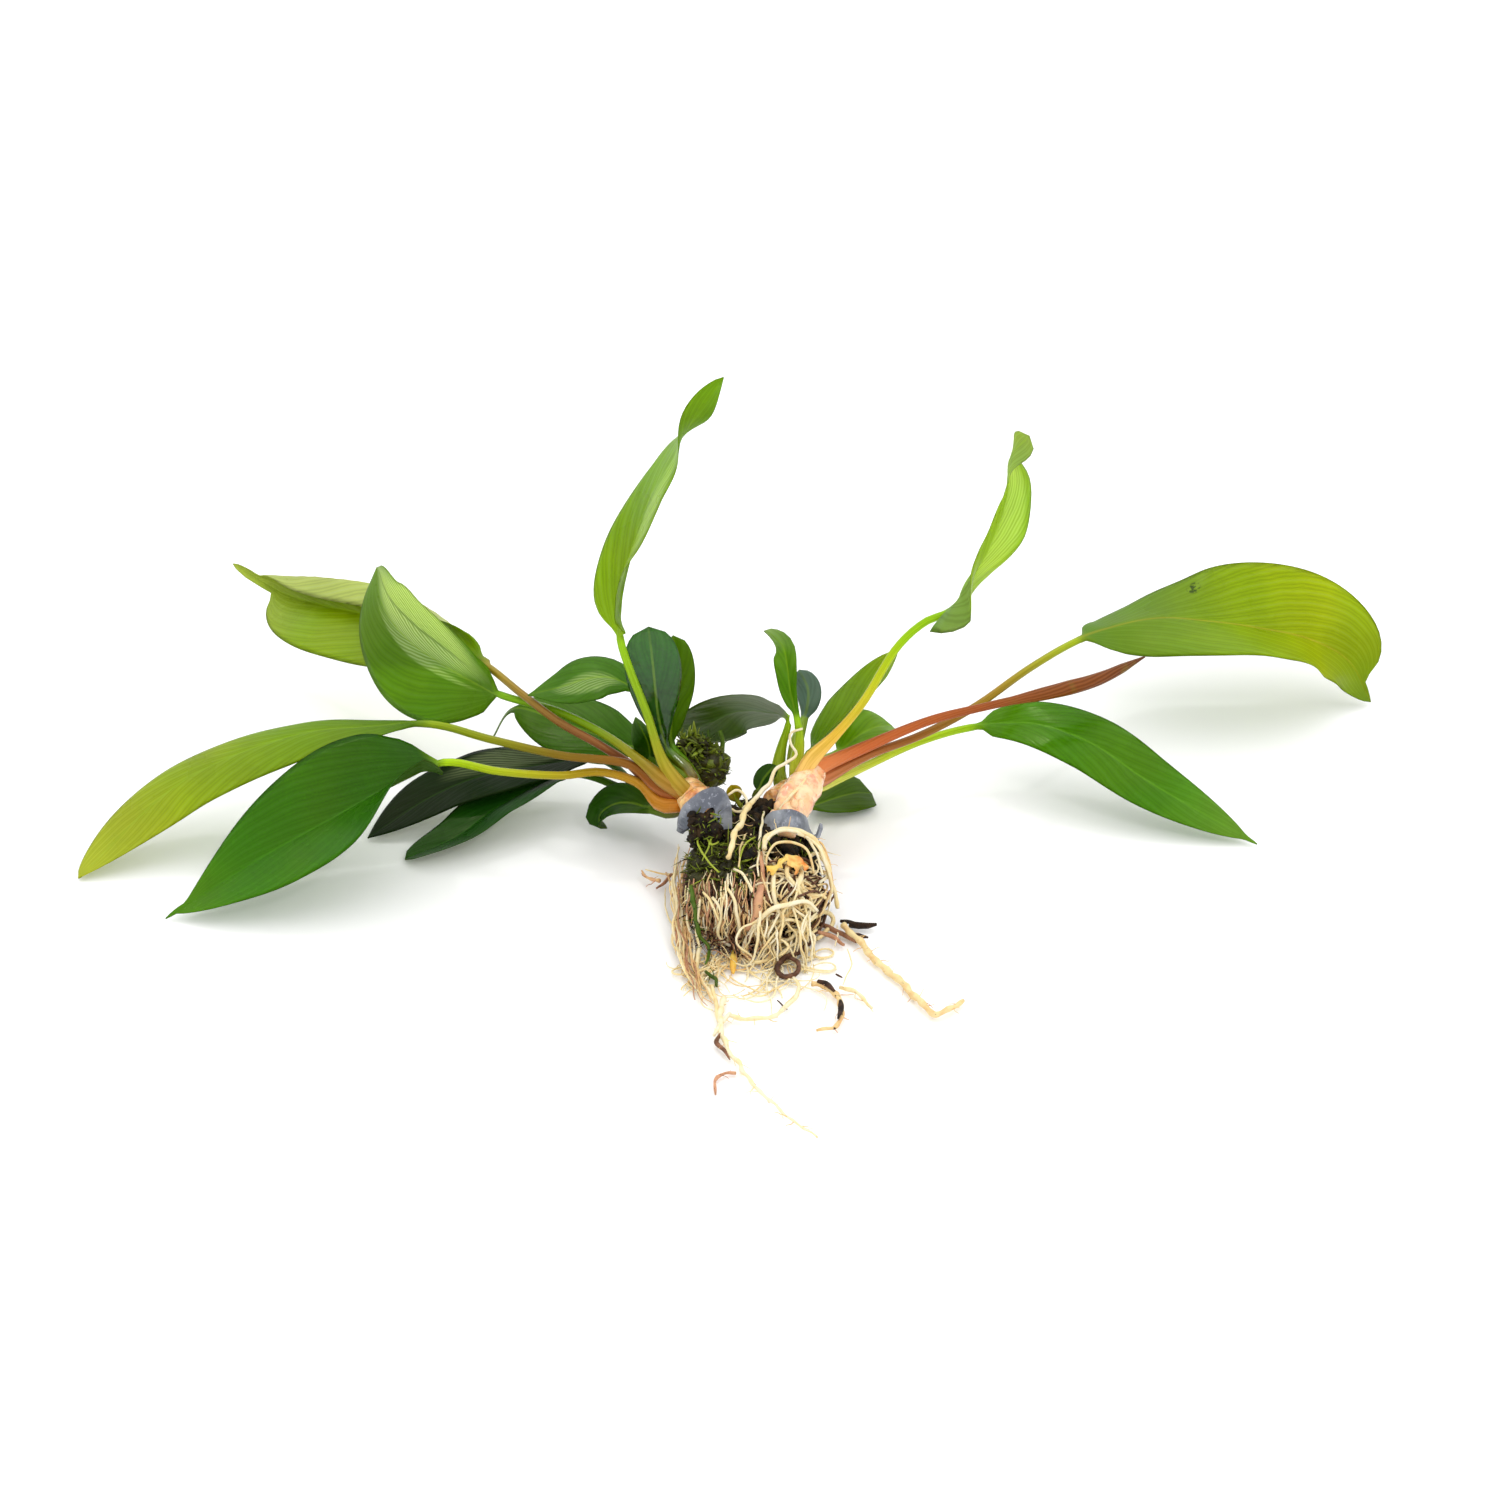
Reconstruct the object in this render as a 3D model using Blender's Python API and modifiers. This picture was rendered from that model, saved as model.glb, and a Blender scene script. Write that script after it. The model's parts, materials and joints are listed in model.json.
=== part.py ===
"""An anubias of two crowns grown onto a small stone, lying with its leaves fanned out.

Millimetres in the tables, metres in the scene. The origin is the middle of the stone's flat
underside, +X runs along the fan of leaves, +Y away from the roots, +Z up.
"""
import math

import bmesh
import bpy
import numpy as np

MM = 0.001
COLLECTION = "anubias_on_stone"

# Stone: half-sizes of its rounded block, and the height of its widest level.
STONE_HALF_X = 22.0
STONE_HALF_Y = 24.0
STONE_RISE = 10.0
STONE_DROP = 18.0
STONE_MIDDLE_Z = 11.0
STONE_SQUARENESS = 2.6
STONE_DENT = 0.07
STONE_SEGMENTS = 24
STONE_RINGS = 12

# Leaves: the blade's thickness, the places across a section, and the share of the blade over
# which the round stalk flattens into it.
BLADE_THICKNESS = 0.9
STALK_RING_STEP = 14.0
BLADE_RING_STEP = 8.0
NECK = 0.12
TAPER = 1.2
LOBE_SHARE = 0.25
BROAD_SECTION = 5
CURLED_SECTION = 9

# Mats of roots and moss: how far their inner and outer faces stand off the stone.
MAT_GAP = 0.8
MAT_THICKNESS = 4.0
MAT_FLOOR = 0.4
MAT_STATIONS = 7
MAT_ARC_POINTS = 8

# Bands: strips of soft grey metal bent round the crowns' necks.
BAND_THICKNESS = 1.2
BAND_STEPS = 24

ROOT_POINT_SPACING = 5.0

# stalk: points of the stalk, crown to blade; rib: points of the midrib, blade base to tip.
# radius: of the stalk at its foot and at the blade. faces: the way the upper side looks.
# width: of the blade. outline: powers of the outline's base and tip; reach: the share of the
# rib where the full blade ends; tail: half-width of the tip beyond.
# turn, fold, curl: degrees along the rib, spread evenly. A width, power, reach, fold or curl
# may be a pair, for the blade's left and right halves.
# bend: where across the half-blade its curl starts and ends. lobe: how far the blade's base
# reaches back beside the stalk.
LEAVES = {
    "leaf_far_left": dict(
        stalk=[(-31, 22, 32), (-42, 31, 36), (-65, 32, 39), (-89, 36, 43), (-110, 48, 42)],
        rib=[(-110, 48, 42), (-131, 50, 40), (-155, 50, 37), (-194, 41, 24), (-228, 15, 1)],
        width=(33, 26), outline=(1.1, (1.0, 0.6)), tail=1.5, faces=(0, -0.05, 1), fold=[-2],
        curl=[0, -10, -10, 0], colour=(0.34, 0.45, 0.03)),
    "leaf_front_left": dict(
        stalk=[(-31, 20, 27), (-39, 29, 30), (-52, 33, 32), (-65, 29, 33), (-86, 30, 34),
               (-105, 36, 34)],
        rib=[(-105, 36, 34), (-119, 27, 32), (-138, 16, 26), (-163, 5, 16), (-195, -10, 1)],
        width=50, outline=((0.5, 0.6), (0.8, 1.15)), reach=(0.97, 0.95), tail=1.2,
        faces=(0, -0.3, 1), fold=([60, 55, 25, 15, 15, 15], [15]), colour=(0.05, 0.2, 0.01)),
    "leaf_folded": dict(
        stalk=[(-30, 20, 36), (-38, 28, 39), (-49, 37, 43), (-66, 49, 46), (-87, 63, 45)],
        rib=[(-87, 63, 45), (-98, 73, 45), (-110, 85, 46), (-120, 95, 48), (-128, 105, 52),
             (-132, 112, 57), (-134, 122, 64)],
        width=46, outline=((0.8, 0.7), (0.85, 0.65)), faces=(-0.35, -0.75, 0.75),
        turn=[-30, -45], fold=([15], [20, 15, 5, 5]), curl=[0, 10, 10, 0],
        colour=(0.11, 0.3, 0.01)),
    "leaf_curled": dict(
        stalk=[(-33, 26, 30), (-42, 36, 33), (-52, 37, 40), (-66, 44, 45), (-79, 56, 49),
               (-92, 74, 50)],
        rib=[(-92, 74, 50), (-105, 91, 48), (-121, 112, 44), (-139, 133, 39), (-159, 149, 35),
             (-175, 161, 34), (-193, 170, 41)],
        width=46, outline=(1.0, (0.45, 0.7)), reach=(0.86, 0.93), tail=2.4,
        faces=(0, -0.7, 0.7),
        fold=([0, 0, 5, 20, 25, 25], [10, 15, 15, 15, 15]),
        curl=([0], [0, 100, 160, 165, 150, 60]),
        bend=(0.35, 0.7), section=CURLED_SECTION, colour=(0.33, 0.47, 0.02)),
    "leaf_dark_low": dict(
        stalk=[(-34, 38, 18), (-39, 45, 17), (-54, 69, 16)],
        rib=[(-54, 69, 16), (-75, 65, 16), (-95, 59, 15), (-112, 55, 9), (-133, 41, 1)],
        width=27, outline=(0.9, 0.9), faces=(0, -0.1, 1), colour=(0.02, 0.08, 0.01)),
    "leaf_floor_left": dict(
        stalk=[(-32, 43, 15), (-39, 50, 12), (-63, 64, 13)],
        rib=[(-63, 64, 13), (-88, 47, 10), (-102, 35, 5), (-119, 27, 1)],
        width=21, outline=(0.5, 0.5), faces=(0, 0.1, 1), fold=[15], colour=(0.02, 0.09, 0.01)),
    "leaf_back_left": dict(
        stalk=[(-27, 29, 36), (-32, 36, 42), (-36, 43, 49), (-41, 50, 54)], radius=(1.2, 1.1),
        rib=[(-41, 50, 54), (-48, 53, 57), (-56, 53, 57), (-66, 52, 54), (-77, 52, 51)],
        width=21, outline=(0.8, 1.1), faces=(0.1, -0.3, 1), curl=[-10],
        colour=(0.06, 0.25, 0.02)),
    "leaf_back_low": dict(
        stalk=[(-30, 34, 26), (-34, 39, 28), (-36, 47, 27), (-39, 55, 27)], radius=(1.2, 1.1),
        rib=[(-39, 55, 27), (-52, 60, 30), (-67, 67, 32), (-83, 75, 33), (-93, 86, 14)],
        width=27, outline=(0.6, 0.7), reach=0.68, tail=1.6, faces=(0, -0.4, 1), curl=[-10],
        colour=(0.07, 0.24, 0.01)),
    "leaf_upright_left": dict(
        stalk=[(-26, 19, 36), (-31, 24, 42), (-36, 26, 59), (-41, 25, 75), (-44, 23, 88)],
        rib=[(-44, 23, 88), (-44, 22, 101), (-42, 22, 112), (-35, 22, 136), (-23, 23, 161),
             (-10, 23, 181)],
        width=26, outline=(0.5, 0.7), faces=(0, -0.87, 0.4),
        fold=([20, 20, 15, 5, 0, 0, 10, 40], [60, 50, 40, 15, 0, -10, -10, 10]),
        turn=[-40, -45, -55, -62, -70, -82, -135, -150], colour=(0.13, 0.3, 0.02)),
    "leaf_glossy": dict(
        stalk=[(-23, 28, 36), (-26, 29, 39), (-29, 30, 42)], radius=(1.2, 1.0),
        rib=[(-29, 30, 42), (-32, 30, 54), (-33, 29, 66), (-34, 29, 79), (-35, 30, 89)],
        width=19, outline=(1.1, 0.45), faces=(0, -1, 0.3), fold=[10], colour=(0.02, 0.2, 0.02)),
    "leaf_behind_glossy": dict(
        stalk=[(-22, 31, 33), (-25, 35, 36), (-28, 38, 39)], radius=(1.1, 1.0),
        rib=[(-28, 38, 39), (-28, 38, 51), (-27, 37, 63), (-27, 35, 83)],
        width=14, outline=(0.8, 0.45), faces=(0.2, -1, 0.3), fold=[10],
        colour=(0.06, 0.26, 0.02)),
    "leaf_small_front": dict(
        stalk=[(-29, 30, 18), (-32, 31, 18), (-35, 32, 18)], radius=(1.1, 1.0),
        rib=[(-35, 32, 18), (-42, 36, 18), (-48, 40, 15), (-53, 43, 9), (-53, 44, 3)],
        width=15, outline=(0.6, 0.5), faces=(-0.3, -0.5, 1), fold=[10], curl=[20],
        colour=(0.06, 0.22, 0.02)),
    "leaf_inner": dict(
        stalk=[(-30, 30, 32), (-33, 33, 33), (-35, 37, 35)], radius=(1.0, 1.0),
        rib=[(-35, 37, 35), (-36, 37, 41), (-38, 36, 47), (-40, 35, 52)],
        width=12, outline=(0.5, 0.6), faces=(-0.2, -1, 0.4), fold=[35], curl=[20],
        colour=(0.05, 0.22, 0.02)),
    "leaf_arch": dict(
        stalk=[(8, 46, 26), (9, 49, 32), (11, 51, 43)], radius=(1.2, 1.0),
        rib=[(11, 51, 43), (3, 52, 45), (-6, 52, 45), (-17, 55, 38), (-28, 61, 31)],
        width=23, outline=(0.6, 0.6), faces=(0, 0, 1), turn=[60, 65, 65, 60, 60],
        curl=[-20], colour=(0.03, 0.14, 0.02)),
    "leaf_upright_small": dict(
        stalk=[(14, 38, 33), (15, 40, 40), (14, 41, 49)], radius=(1.2, 1.0),
        rib=[(14, 41, 49), (12, 44, 57), (11, 46, 65), (9, 45, 74), (3, 44, 80)],
        width=9, outline=(0.6, 0.5), faces=(0, -0.87, 0.4), turn=[-30, -30, -10, 60],
        fold=[25], colour=(0.08, 0.27, 0.02)),
    "leaf_grey_back": dict(
        stalk=[(14, 50, 33), (16, 55, 37), (17, 58, 39)], radius=(1.1, 1.0),
        rib=[(17, 58, 39), (18, 58, 44), (18, 59, 50), (15, 59, 57)],
        width=9, outline=(0.6, 0.5), faces=(0.3, 1, -0.2), fold=[10], colour=(0.12, 0.22, 0.12)),
    "leaf_lance": dict(
        stalk=[(17, 43, 28), (18, 45, 29), (19, 47, 31)], radius=(1.2, 1.1),
        rib=[(19, 47, 31), (24, 51, 36), (32, 55, 43), (42, 65, 50), (49, 71, 58)],
        width=24, outline=(0.7, 0.75), faces=(-0.4, -0.8, 0.5), turn=[-60, -45],
        fold=([25], [10]), colour=(0.17, 0.38, 0.01)),
    "leaf_upright_right": dict(
        stalk=[(19, 33, 37), (27, 37, 44), (36, 41, 54), (48, 50, 71), (57, 54, 78),
               (66, 55, 82)],
        rib=[(66, 55, 82), (71, 53, 94), (77, 52, 105), (81, 51, 117), (83, 52, 128),
             (83, 52, 139), (89, 51, 148)],
        width=24, outline=(0.35, 0.45), faces=(0, -0.87, 0.4), tail=2.6, lobe=12,
        turn=[54, 54, 54, 54, 54, 56, 65, 100, 170],
        fold=([80, 72, 30, 15, 15, 15, 10, 5], [-20, -10, 0, 15, 15, 15, 5, 5]),
        colour=(0.12, 0.3, 0.03)),
    "leaf_big_right": dict(
        stalk=[(23, 39, 26), (39, 48, 30), (57, 58, 32), (76, 74, 34), (97, 97, 37),
               (115, 117, 37)],
        rib=[(115, 117, 37), (130, 127, 38), (146, 131, 39), (164, 132, 37), (183, 136, 32),
             (203, 140, 25), (217, 139, 17), (226, 135, 2)],
        width=54, outline=(0.85, (0.5, 0.8)), reach=(0.93, 1.0), tail=1.5,
        faces=(0, -0.26, 0.97), fold=([-25, -25, 5, 25, 35, 25], [-25, -5, 15, 18, 8, 5]),
        colour=(0.18, 0.33, 0.02)),
    "leaf_lower_right": dict(
        stalk=[(22, 45, 20), (33, 53, 20), (58, 73, 21), (76, 81, 22)],
        rib=[(76, 81, 22), (96, 77, 26), (116, 67, 24), (136, 55, 15), (172, 37, 1)],
        width=26, outline=(0.65, 0.8), reach=0.97, faces=(0.1, -0.4, 1), fold=[5, 5, 5, 0],
        curl=[0, -10, -10, 0], colour=(0.07, 0.27, 0.01)),
    "leaf_right_behind": dict(
        stalk=[(20, 50, 24), (24, 57, 23), (29, 64, 22)], radius=(1.2, 1.0),
        rib=[(29, 64, 22), (35, 67, 26), (42, 74, 26), (48, 82, 22)],
        width=18, outline=(0.5, 0.5), faces=(0, -0.5, 1), fold=[10], colour=(0.16, 0.36, 0.01)),
    "leaf_floor_small": dict(
        stalk=[(15, 45, 12), (17, 50, 8), (19, 55, 5)], radius=(1.1, 1.0),
        rib=[(19, 55, 5), (27, 62, 4), (35, 66, 4), (41, 69, 2)],
        width=20, outline=(0.5, 0.3), faces=(0, -0.2, 1), colour=(0.06, 0.22, 0.02)),
    "leaf_yellow_bud": dict(
        stalk=[(-4, 17, 27), (-5, 18, 28), (-6, 19, 29)], radius=(0.7, 0.6),
        rib=[(-6, 19, 29), (-7, 20, 31), (-8, 21, 34)],
        width=6, outline=(0.6, 0.5), faces=(0.3, -0.9, 0.3), fold=[20],
        colour=(0.45, 0.42, 0.01)),
    "leaf_jagged_bud": dict(
        stalk=[(0, 33, 22), (0, 34, 23), (1, 34, 24)], radius=(0.9, 0.8),
        rib=[(1, 34, 24), (3, 37, 27), (7, 41, 30)],
        width=7, outline=(0.5, 0.5), faces=(-0.5, -0.8, 0.3), fold=[10],
        colour=(0.04, 0.16, 0.02)),
}

LEAF_DEFAULTS = dict(radius=(1.5, 1.3), turn=[0], fold=[5], curl=[0], bend=(0.0, 1.0),
                     reach=1.0, tail=1.2, lobe=0.0, section=BROAD_SECTION)

# Tubes: points in mm, their radii spread evenly along the tube, and a colour.
CROWN_A = (0.55, 0.26, 0.08)
CROWN_B = (0.9, 0.6, 0.35)
RUST = (0.42, 0.12, 0.05)
CREAM = (0.83, 0.7, 0.42)
TAN = (0.55, 0.38, 0.2)
DARK_BARK = (0.03, 0.02, 0.01)

TUBES = {
    "crown_left": ([(-17, 5, 27), (-18, 11, 29), (-20, 18, 30), (-24, 24, 30)],
                   (2.2, 4.2, 5.2, 4.8), CROWN_A),
    "crown_right": ([(10, 3, 25), (11, 9, 27), (13, 17, 28), (17, 28, 30)],
                    (2.4, 3.8, 5.2, 5.2), CROWN_B),
    "rhizome_left": ([(-14, 27, 24), (-21, 33, 22), (-28, 38, 18)], (4.0, 4.0, 3.0), CROWN_A),
    "rhizome_right": ([(6, 28, 24), (11, 36, 22), (15, 42, 18)], (4.0, 4.0, 3.2), CROWN_A),
    "leaf_furled": ([(21, 37, 31), (39, 46, 35), (60, 56, 39), (79, 62, 41), (106, 74, 41),
                     (120, 82, 41), (137, 96, 42)],
                    (2.2, 2.0, 1.7, 1.6, 2.4, 2.2, 0.4), RUST),
    "root_cream": ([(-2, 13, 31), (-4, 6, 31), (-7, -6, 30), (-9, -16, 28)],
                   (1.3, 1.2, 1.2, 0.9), CREAM),
    "root_loop": ([(3, -10, 28), (3, -5, 29), (5, -3, 30), (12, -2, 31), (17, -4, 30),
                   (21, -6, 26), (24, -10, 20), (26, -12, 13), (27, -13, 7)],
                  (0.9, 1.0, 1.0, 0.8), CREAM),
    "root_long_right": ([(29, -17, 3), (40, -38, 2), (48, -51, 2), (57, -67, 2), (61, -65, 2),
                         (66, -59, 2)], (1.3, 1.4, 1.4, 0.9), CREAM),
    "root_fork": ([(18, -50, 2), (21, -50, 2), (25, -55, 2), (27, -65, 2), (25, -74, 2),
                   (19, -77, 2)], (1.2, 1.2, 1.0, 0.6), TAN),
    "root_fork_branch": ([(27, -52, 2), (32, -55, 2), (37, -64, 2)], (0.9, 0.8, 0.5), CREAM),
    "root_arc": ([(-8, -68, 2), (-3, -70, 2), (5, -69, 2), (9, -64, 2)], (0.9, 0.9, 0.8), CREAM),
    "root_bottom": ([(-10, -58, 2), (-11, -76, 2), (-9, -85, 2), (-3, -100, 2), (3, -112, 2),
                     (18, -131, 1)], (1.2, 1.0, 0.7, 0.4), CREAM),
    "root_hook": ([(-6, -98, 1), (-9, -98, 1), (-12, -101, 1), (-12, -109, 1)],
                  (0.6, 0.7, 0.4), TAN),
    "root_bundle_left": ([(-24, 13, 16), (-26, 3, 12), (-26, -9, 8), (-24, -32, 3),
                          (-20, -52, 3), (-16, -62, 2)], (1.4, 1.9, 2.0, 1.2), CREAM),
    "root_whisker": ([(-32, 4, 7), (-35, 10, 4), (-38, 16, 3)], (0.8, 0.7, 0.4), TAN),
    "bark_sliver": ([(31, -15, 2), (36, -16, 2), (40, -15, 2)], (1.1, 1.2, 0.5), DARK_BARK),
}

# Bands: middle line of the strip, its axes (the way across the strip, towards the roots) spread
# evenly along it, its width, and the share of the width along it.
BANDS = {
    "band_left": dict(
        middle=[(-25, 7, 24), (-23, 7, 29), (-21, 6, 33), (-19, 6, 35), (-16, 7, 37),
                (-13, 8, 37), (-12, 8, 36), (-11, 7, 33), (-11, 5, 29), (-11, 4, 27)],
        axes=[(0.2, -0.9, 0.4), (0.5, -0.8, -0.2), (0.6, -0.5, -0.6), (0.4, -0.4, -0.8),
              (-0.1, -0.5, -0.8), (-0.5, -0.5, -0.6), (-0.8, -0.6, 0), (-0.8, -0.5, 0.2)],
        width=7.5, widths=[0.8, 1]),
    "band_right": dict(
        middle=[(3, 5, 25), (4, 7, 27), (6, 6, 29), (8, 5, 30), (12, 4, 31), (15, 5, 29),
                (17, 7, 26), (18, 7, 23), (20, 6, 22), (22, 8, 26)],
        axes=[(0.1, -0.86, -0.5)],
        width=7.0, widths=[0.15, 0.8, 1, 1, 1, 1, 1, 0.5, 0.25, 0.25]),
}
BAND_COLOUR = (0.2, 0.21, 0.26)

# Mats over the stone: range of x, and of the angle about the stone's X axis, from its back (0)
# over its top (90) to its front (180) and down to the table.
MATS = {
    "moss_top": dict(x=(-19, 0), angle=(92, 140), colour=(0.07, 0.1, 0.01)),
    "root_mat_left": dict(x=(-21, 0), angle=(145, 205), colour=(0.35, 0.2, 0.12)),
    "root_mat_right": dict(x=(2, 21), angle=(95, 205), colour=(0.66, 0.48, 0.26)),
}
FLOOR_MAT = dict(x=(-20, 22), back=-34.0, front=-53.0, height=5.0, colour=(0.75, 0.6, 0.36))
MOSS_CLUMP = dict(centre=(-17, 42, 29), half=(7.5, 6, 7), colour=(0.04, 0.08, 0.01))
STONE_COLOUR = (0.05, 0.045, 0.04)


# ---------------------------------------------------------------- helpers
def clear_scene():
    for item in list(bpy.data.objects):
        bpy.data.objects.remove(item, do_unlink=True)


def make_material(name, colour, roughness, metallic=0.0):
    material = bpy.data.materials.new(name)
    material.use_nodes = True
    shader = material.node_tree.nodes["Principled BSDF"]
    shader.inputs["Base Color"].default_value = (*colour, 1.0)
    shader.inputs["Roughness"].default_value = roughness
    shader.inputs["Metallic"].default_value = metallic
    material.diffuse_color = (*colour, 1.0)
    return material


def between(a, b, t, start, end):
    return ((end - t) * a + (t - start) * b) / (end - start)


def smooth_curve(points, steps=20):
    """Closely spaced points of a centripetal Catmull-Rom curve through the given ones."""
    points = np.asarray(points, float)
    points = np.vstack([2 * points[0] - points[1], points, 2 * points[-1] - points[-2]])
    spans = np.linalg.norm(np.diff(points, axis=0), axis=1) ** 0.5
    knots = np.concatenate([[0], np.cumsum(spans)])
    curve = []
    for i in range(1, len(points) - 2):
        p = points[i - 1:i + 3]
        k = knots[i - 1:i + 3]
        t = np.linspace(k[1], k[2], steps, endpoint=i == len(points) - 3)[:, None]
        first = [between(p[j], p[j + 1], t, k[j], k[j + 1]) for j in range(3)]
        second = [between(first[j], first[j + 1], t, k[j], k[j + 2]) for j in range(2)]
        curve.append(between(second[0], second[1], t, k[1], k[2]))
    return np.vstack(curve)


def lengths_along(curve):
    return np.concatenate([[0], np.cumsum(np.linalg.norm(np.diff(curve, axis=0), axis=1))])


def point_at(curve, lengths, distance):
    return np.array([np.interp(distance, lengths, curve[:, axis]) for axis in range(3)])


def unit(vector):
    return vector / np.linalg.norm(vector)


def read_along(values, t):
    """The value at t of a list spread evenly from 0 to 1, eased between its entries."""
    if len(values) == 1:
        return values[0]
    place = t * (len(values) - 1)
    i = min(int(place), len(values) - 2)
    ease = (place - i) ** 2 * (3 - 2 * (place - i))
    return values[i] * (1 - ease) + values[i + 1] * ease


def add_object(name, mesh, colour, roughness=0.5, metallic=0.0, smooth=True):
    mesh.materials.append(make_material(name, colour, roughness, metallic))
    item = bpy.data.objects.new(name, mesh)
    bpy.data.collections[COLLECTION].objects.link(item)
    if smooth:
        mesh.shade_smooth()
    return item


def finished_mesh(name, bm):
    mesh = bpy.data.meshes.new(name)
    bm.to_mesh(mesh)
    bm.free()
    return mesh


def loft(name, rings, colour, roughness=0.5, upper_count=0):
    """A closed skin over rings of points. Past upper_count the squares split the other way, so
    that a thin blade's two faces fold along the same lines."""
    bm = bmesh.new()
    rows = [[bm.verts.new(np.asarray(point) * MM) for point in ring] for ring in rings]
    count = len(rows[0])
    for row, following in zip(rows, rows[1:]):
        for j in range(count):
            a, b = row[j], row[(j + 1) % count]
            c, d = following[(j + 1) % count], following[j]
            if j < upper_count:
                bm.faces.new((a, b, c))
                bm.faces.new((a, c, d))
            else:
                bm.faces.new((a, b, d))
                bm.faces.new((b, c, d))
    bm.faces.new(rows[0][::-1])
    bm.faces.new(rows[-1])
    if bm.calc_volume(signed=True) < 0:
        bmesh.ops.reverse_faces(bm, faces=bm.faces)
    return add_object(name, finished_mesh(name, bm), colour, roughness)


# ---------------------------------------------------------------- leaves
def turned(vector, axis, degrees):
    angle = math.radians(degrees)
    return (vector * math.cos(angle) + np.cross(axis, vector) * math.sin(angle)
            + axis * (axis @ vector) * (1 - math.cos(angle)))


def of_half(value, right):
    """The value for one half of a blade, where the (left, right) halves differ."""
    return value[int(right)] if isinstance(value, tuple) else value


def blade_half_width(leaf, t, stalk_radius, right):
    """One half's width at t along the midrib, from base to tip."""
    base_power, tip_power = [of_half(power, right) for power in leaf["outline"]]
    u = min(1.0, t / of_half(leaf["reach"], right))
    widest = base_power / (base_power + tip_power)
    full = (u / widest) ** base_power * ((1 - u) / (1 - widest)) ** tip_power
    tail = leaf["tail"] * min(1.0, (1 - t) / 0.05) ** 0.5
    neck = stalk_radius * 1.05 * max(0.0, 1 - t / 0.1)
    return max(of_half(leaf["width"], right) / 2 * full, tail, neck, 0.25)


def across_half(fold, curl, bend, q, steps=24):
    """Where q of the way across a half-blade of width 1 lies, and the slope there."""
    s = (np.arange(steps) + 0.5) / steps * q
    share = np.clip((np.append(s, q) - bend[0]) / (bend[1] - bend[0]), 0, 1)
    slope = np.radians(fold + curl * share ** 2 * (3 - 2 * share))
    return np.cos(slope[:-1]).sum() * q / steps, np.sin(slope[:-1]).sum() * q / steps, slope[-1]


def blade_ring(leaf, t, middle, along, right, up, stalk_radius):
    """One section of the blade: its upper side from left to right, then its lower side back."""
    flat = min(1.0, t / NECK)
    rib_radius = leaf["radius"][1] * (1 - t) ** TAPER
    setback = leaf["lobe"] * max(0.0, 1 - t / LOBE_SHARE)
    upper = np.linspace(-1, 1, leaf["section"])
    ring = []
    for q, below in [(q, False) for q in upper] + [(q, True) for q in upper[-2:0:-1]]:
        half_width = blade_half_width(leaf, t, stalk_radius, q >= 0)
        fold = read_along(of_half(leaf["fold"], q >= 0), t) * flat
        curl = read_along(of_half(leaf["curl"], q >= 0), t) * flat
        across, rise, slope = across_half(fold, curl, leaf["bend"], abs(q))
        side = 1 if q >= 0 else -1
        outward = up if q == 0 else -math.sin(slope) * side * right + math.cos(slope) * up
        round_part = (1 - flat) * stalk_radius * math.sqrt(max(0.0, 1 - q * q))
        height = round_part + flat * BLADE_THICKNESS / 2
        if q == 0 and below:
            height = max(height, rib_radius * 0.8)
        if abs(q) == 1:
            height = 0.0
        point = middle + half_width * (side * across * right + rise * up)
        point = point - along * setback * q * q
        ring.append(point + outward * (-height if below else height))
    return ring


def stalk_ring(section, middle, right, up, radius):
    upper = np.linspace(math.pi, 0, section)
    lower = -np.linspace(0, math.pi, section)[1:-1]
    return [middle + radius * (math.cos(angle) * right + math.sin(angle) * up)
            for angle in np.concatenate([upper, lower])]


def leaf_rings(leaf):
    """Sections of a leaf from the foot of its stalk to the tip of its blade."""
    curve = smooth_curve(leaf["stalk"] + leaf["rib"][1:])
    lengths = lengths_along(curve)
    nearest = np.argmin(np.linalg.norm(curve - np.array(leaf["rib"][0]), axis=1))
    stalk_length = lengths[nearest]
    rib_length = lengths[-1] - stalk_length
    stalk_count = min(7, max(3, round(stalk_length / STALK_RING_STEP) + 1))
    blade_count = min(13, max(6, round(rib_length / BLADE_RING_STEP)))
    distances = list(np.linspace(0, stalk_length, stalk_count))
    distances += list(np.linspace(stalk_length, lengths[-1], blade_count + 1)[1:])
    rings = []
    for distance in distances:
        step = 0.02 * lengths[-1]
        along = unit(point_at(curve, lengths, distance + step)
                     - point_at(curve, lengths, distance - step))
        t = max(0.0, (distance - stalk_length) / rib_length)
        faces = np.array(leaf["faces"], float)
        up = turned(unit(faces - (faces @ along) * along), along, read_along(leaf["turn"], t))
        right = np.cross(along, up)
        middle = point_at(curve, lengths, distance)
        foot, neck = leaf["radius"]
        radius = foot + (neck - foot) * min(1.0, distance / stalk_length)
        if t <= 0:
            rings.append(stalk_ring(leaf["section"], middle, right, up, radius))
        else:
            rings.append(blade_ring(leaf, t, middle, along, right, up, radius))
    return rings


def build_leaf(name, leaf):
    leaf = {**LEAF_DEFAULTS, **leaf}
    return loft(name, leaf_rings(leaf), leaf["colour"], 0.4, leaf["section"] - 1)


# ---------------------------------------------------------------- stone, mats and moss
def stone_reach(direction, grow):
    """How far the stone's rounded block, grown outwards, reaches along a direction."""
    half = (STONE_HALF_X + grow, STONE_HALF_Y + grow,
            (STONE_RISE if direction[2] > 0 else STONE_DROP) + grow)
    total = sum(abs(part / size) ** STONE_SQUARENESS for part, size in zip(direction, half))
    return total ** (-1 / STONE_SQUARENESS)


def stone_dent(direction):
    """A share from 0 to 1: how deep the stone is dented in a direction."""
    x, y, z = direction
    wave = math.sin(4 * x + 2.5 * y + 1) * math.sin(3 * z - 2 * x) + math.sin(5 * y - 3 * z + 2)
    return (wave + 2) / 4


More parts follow.
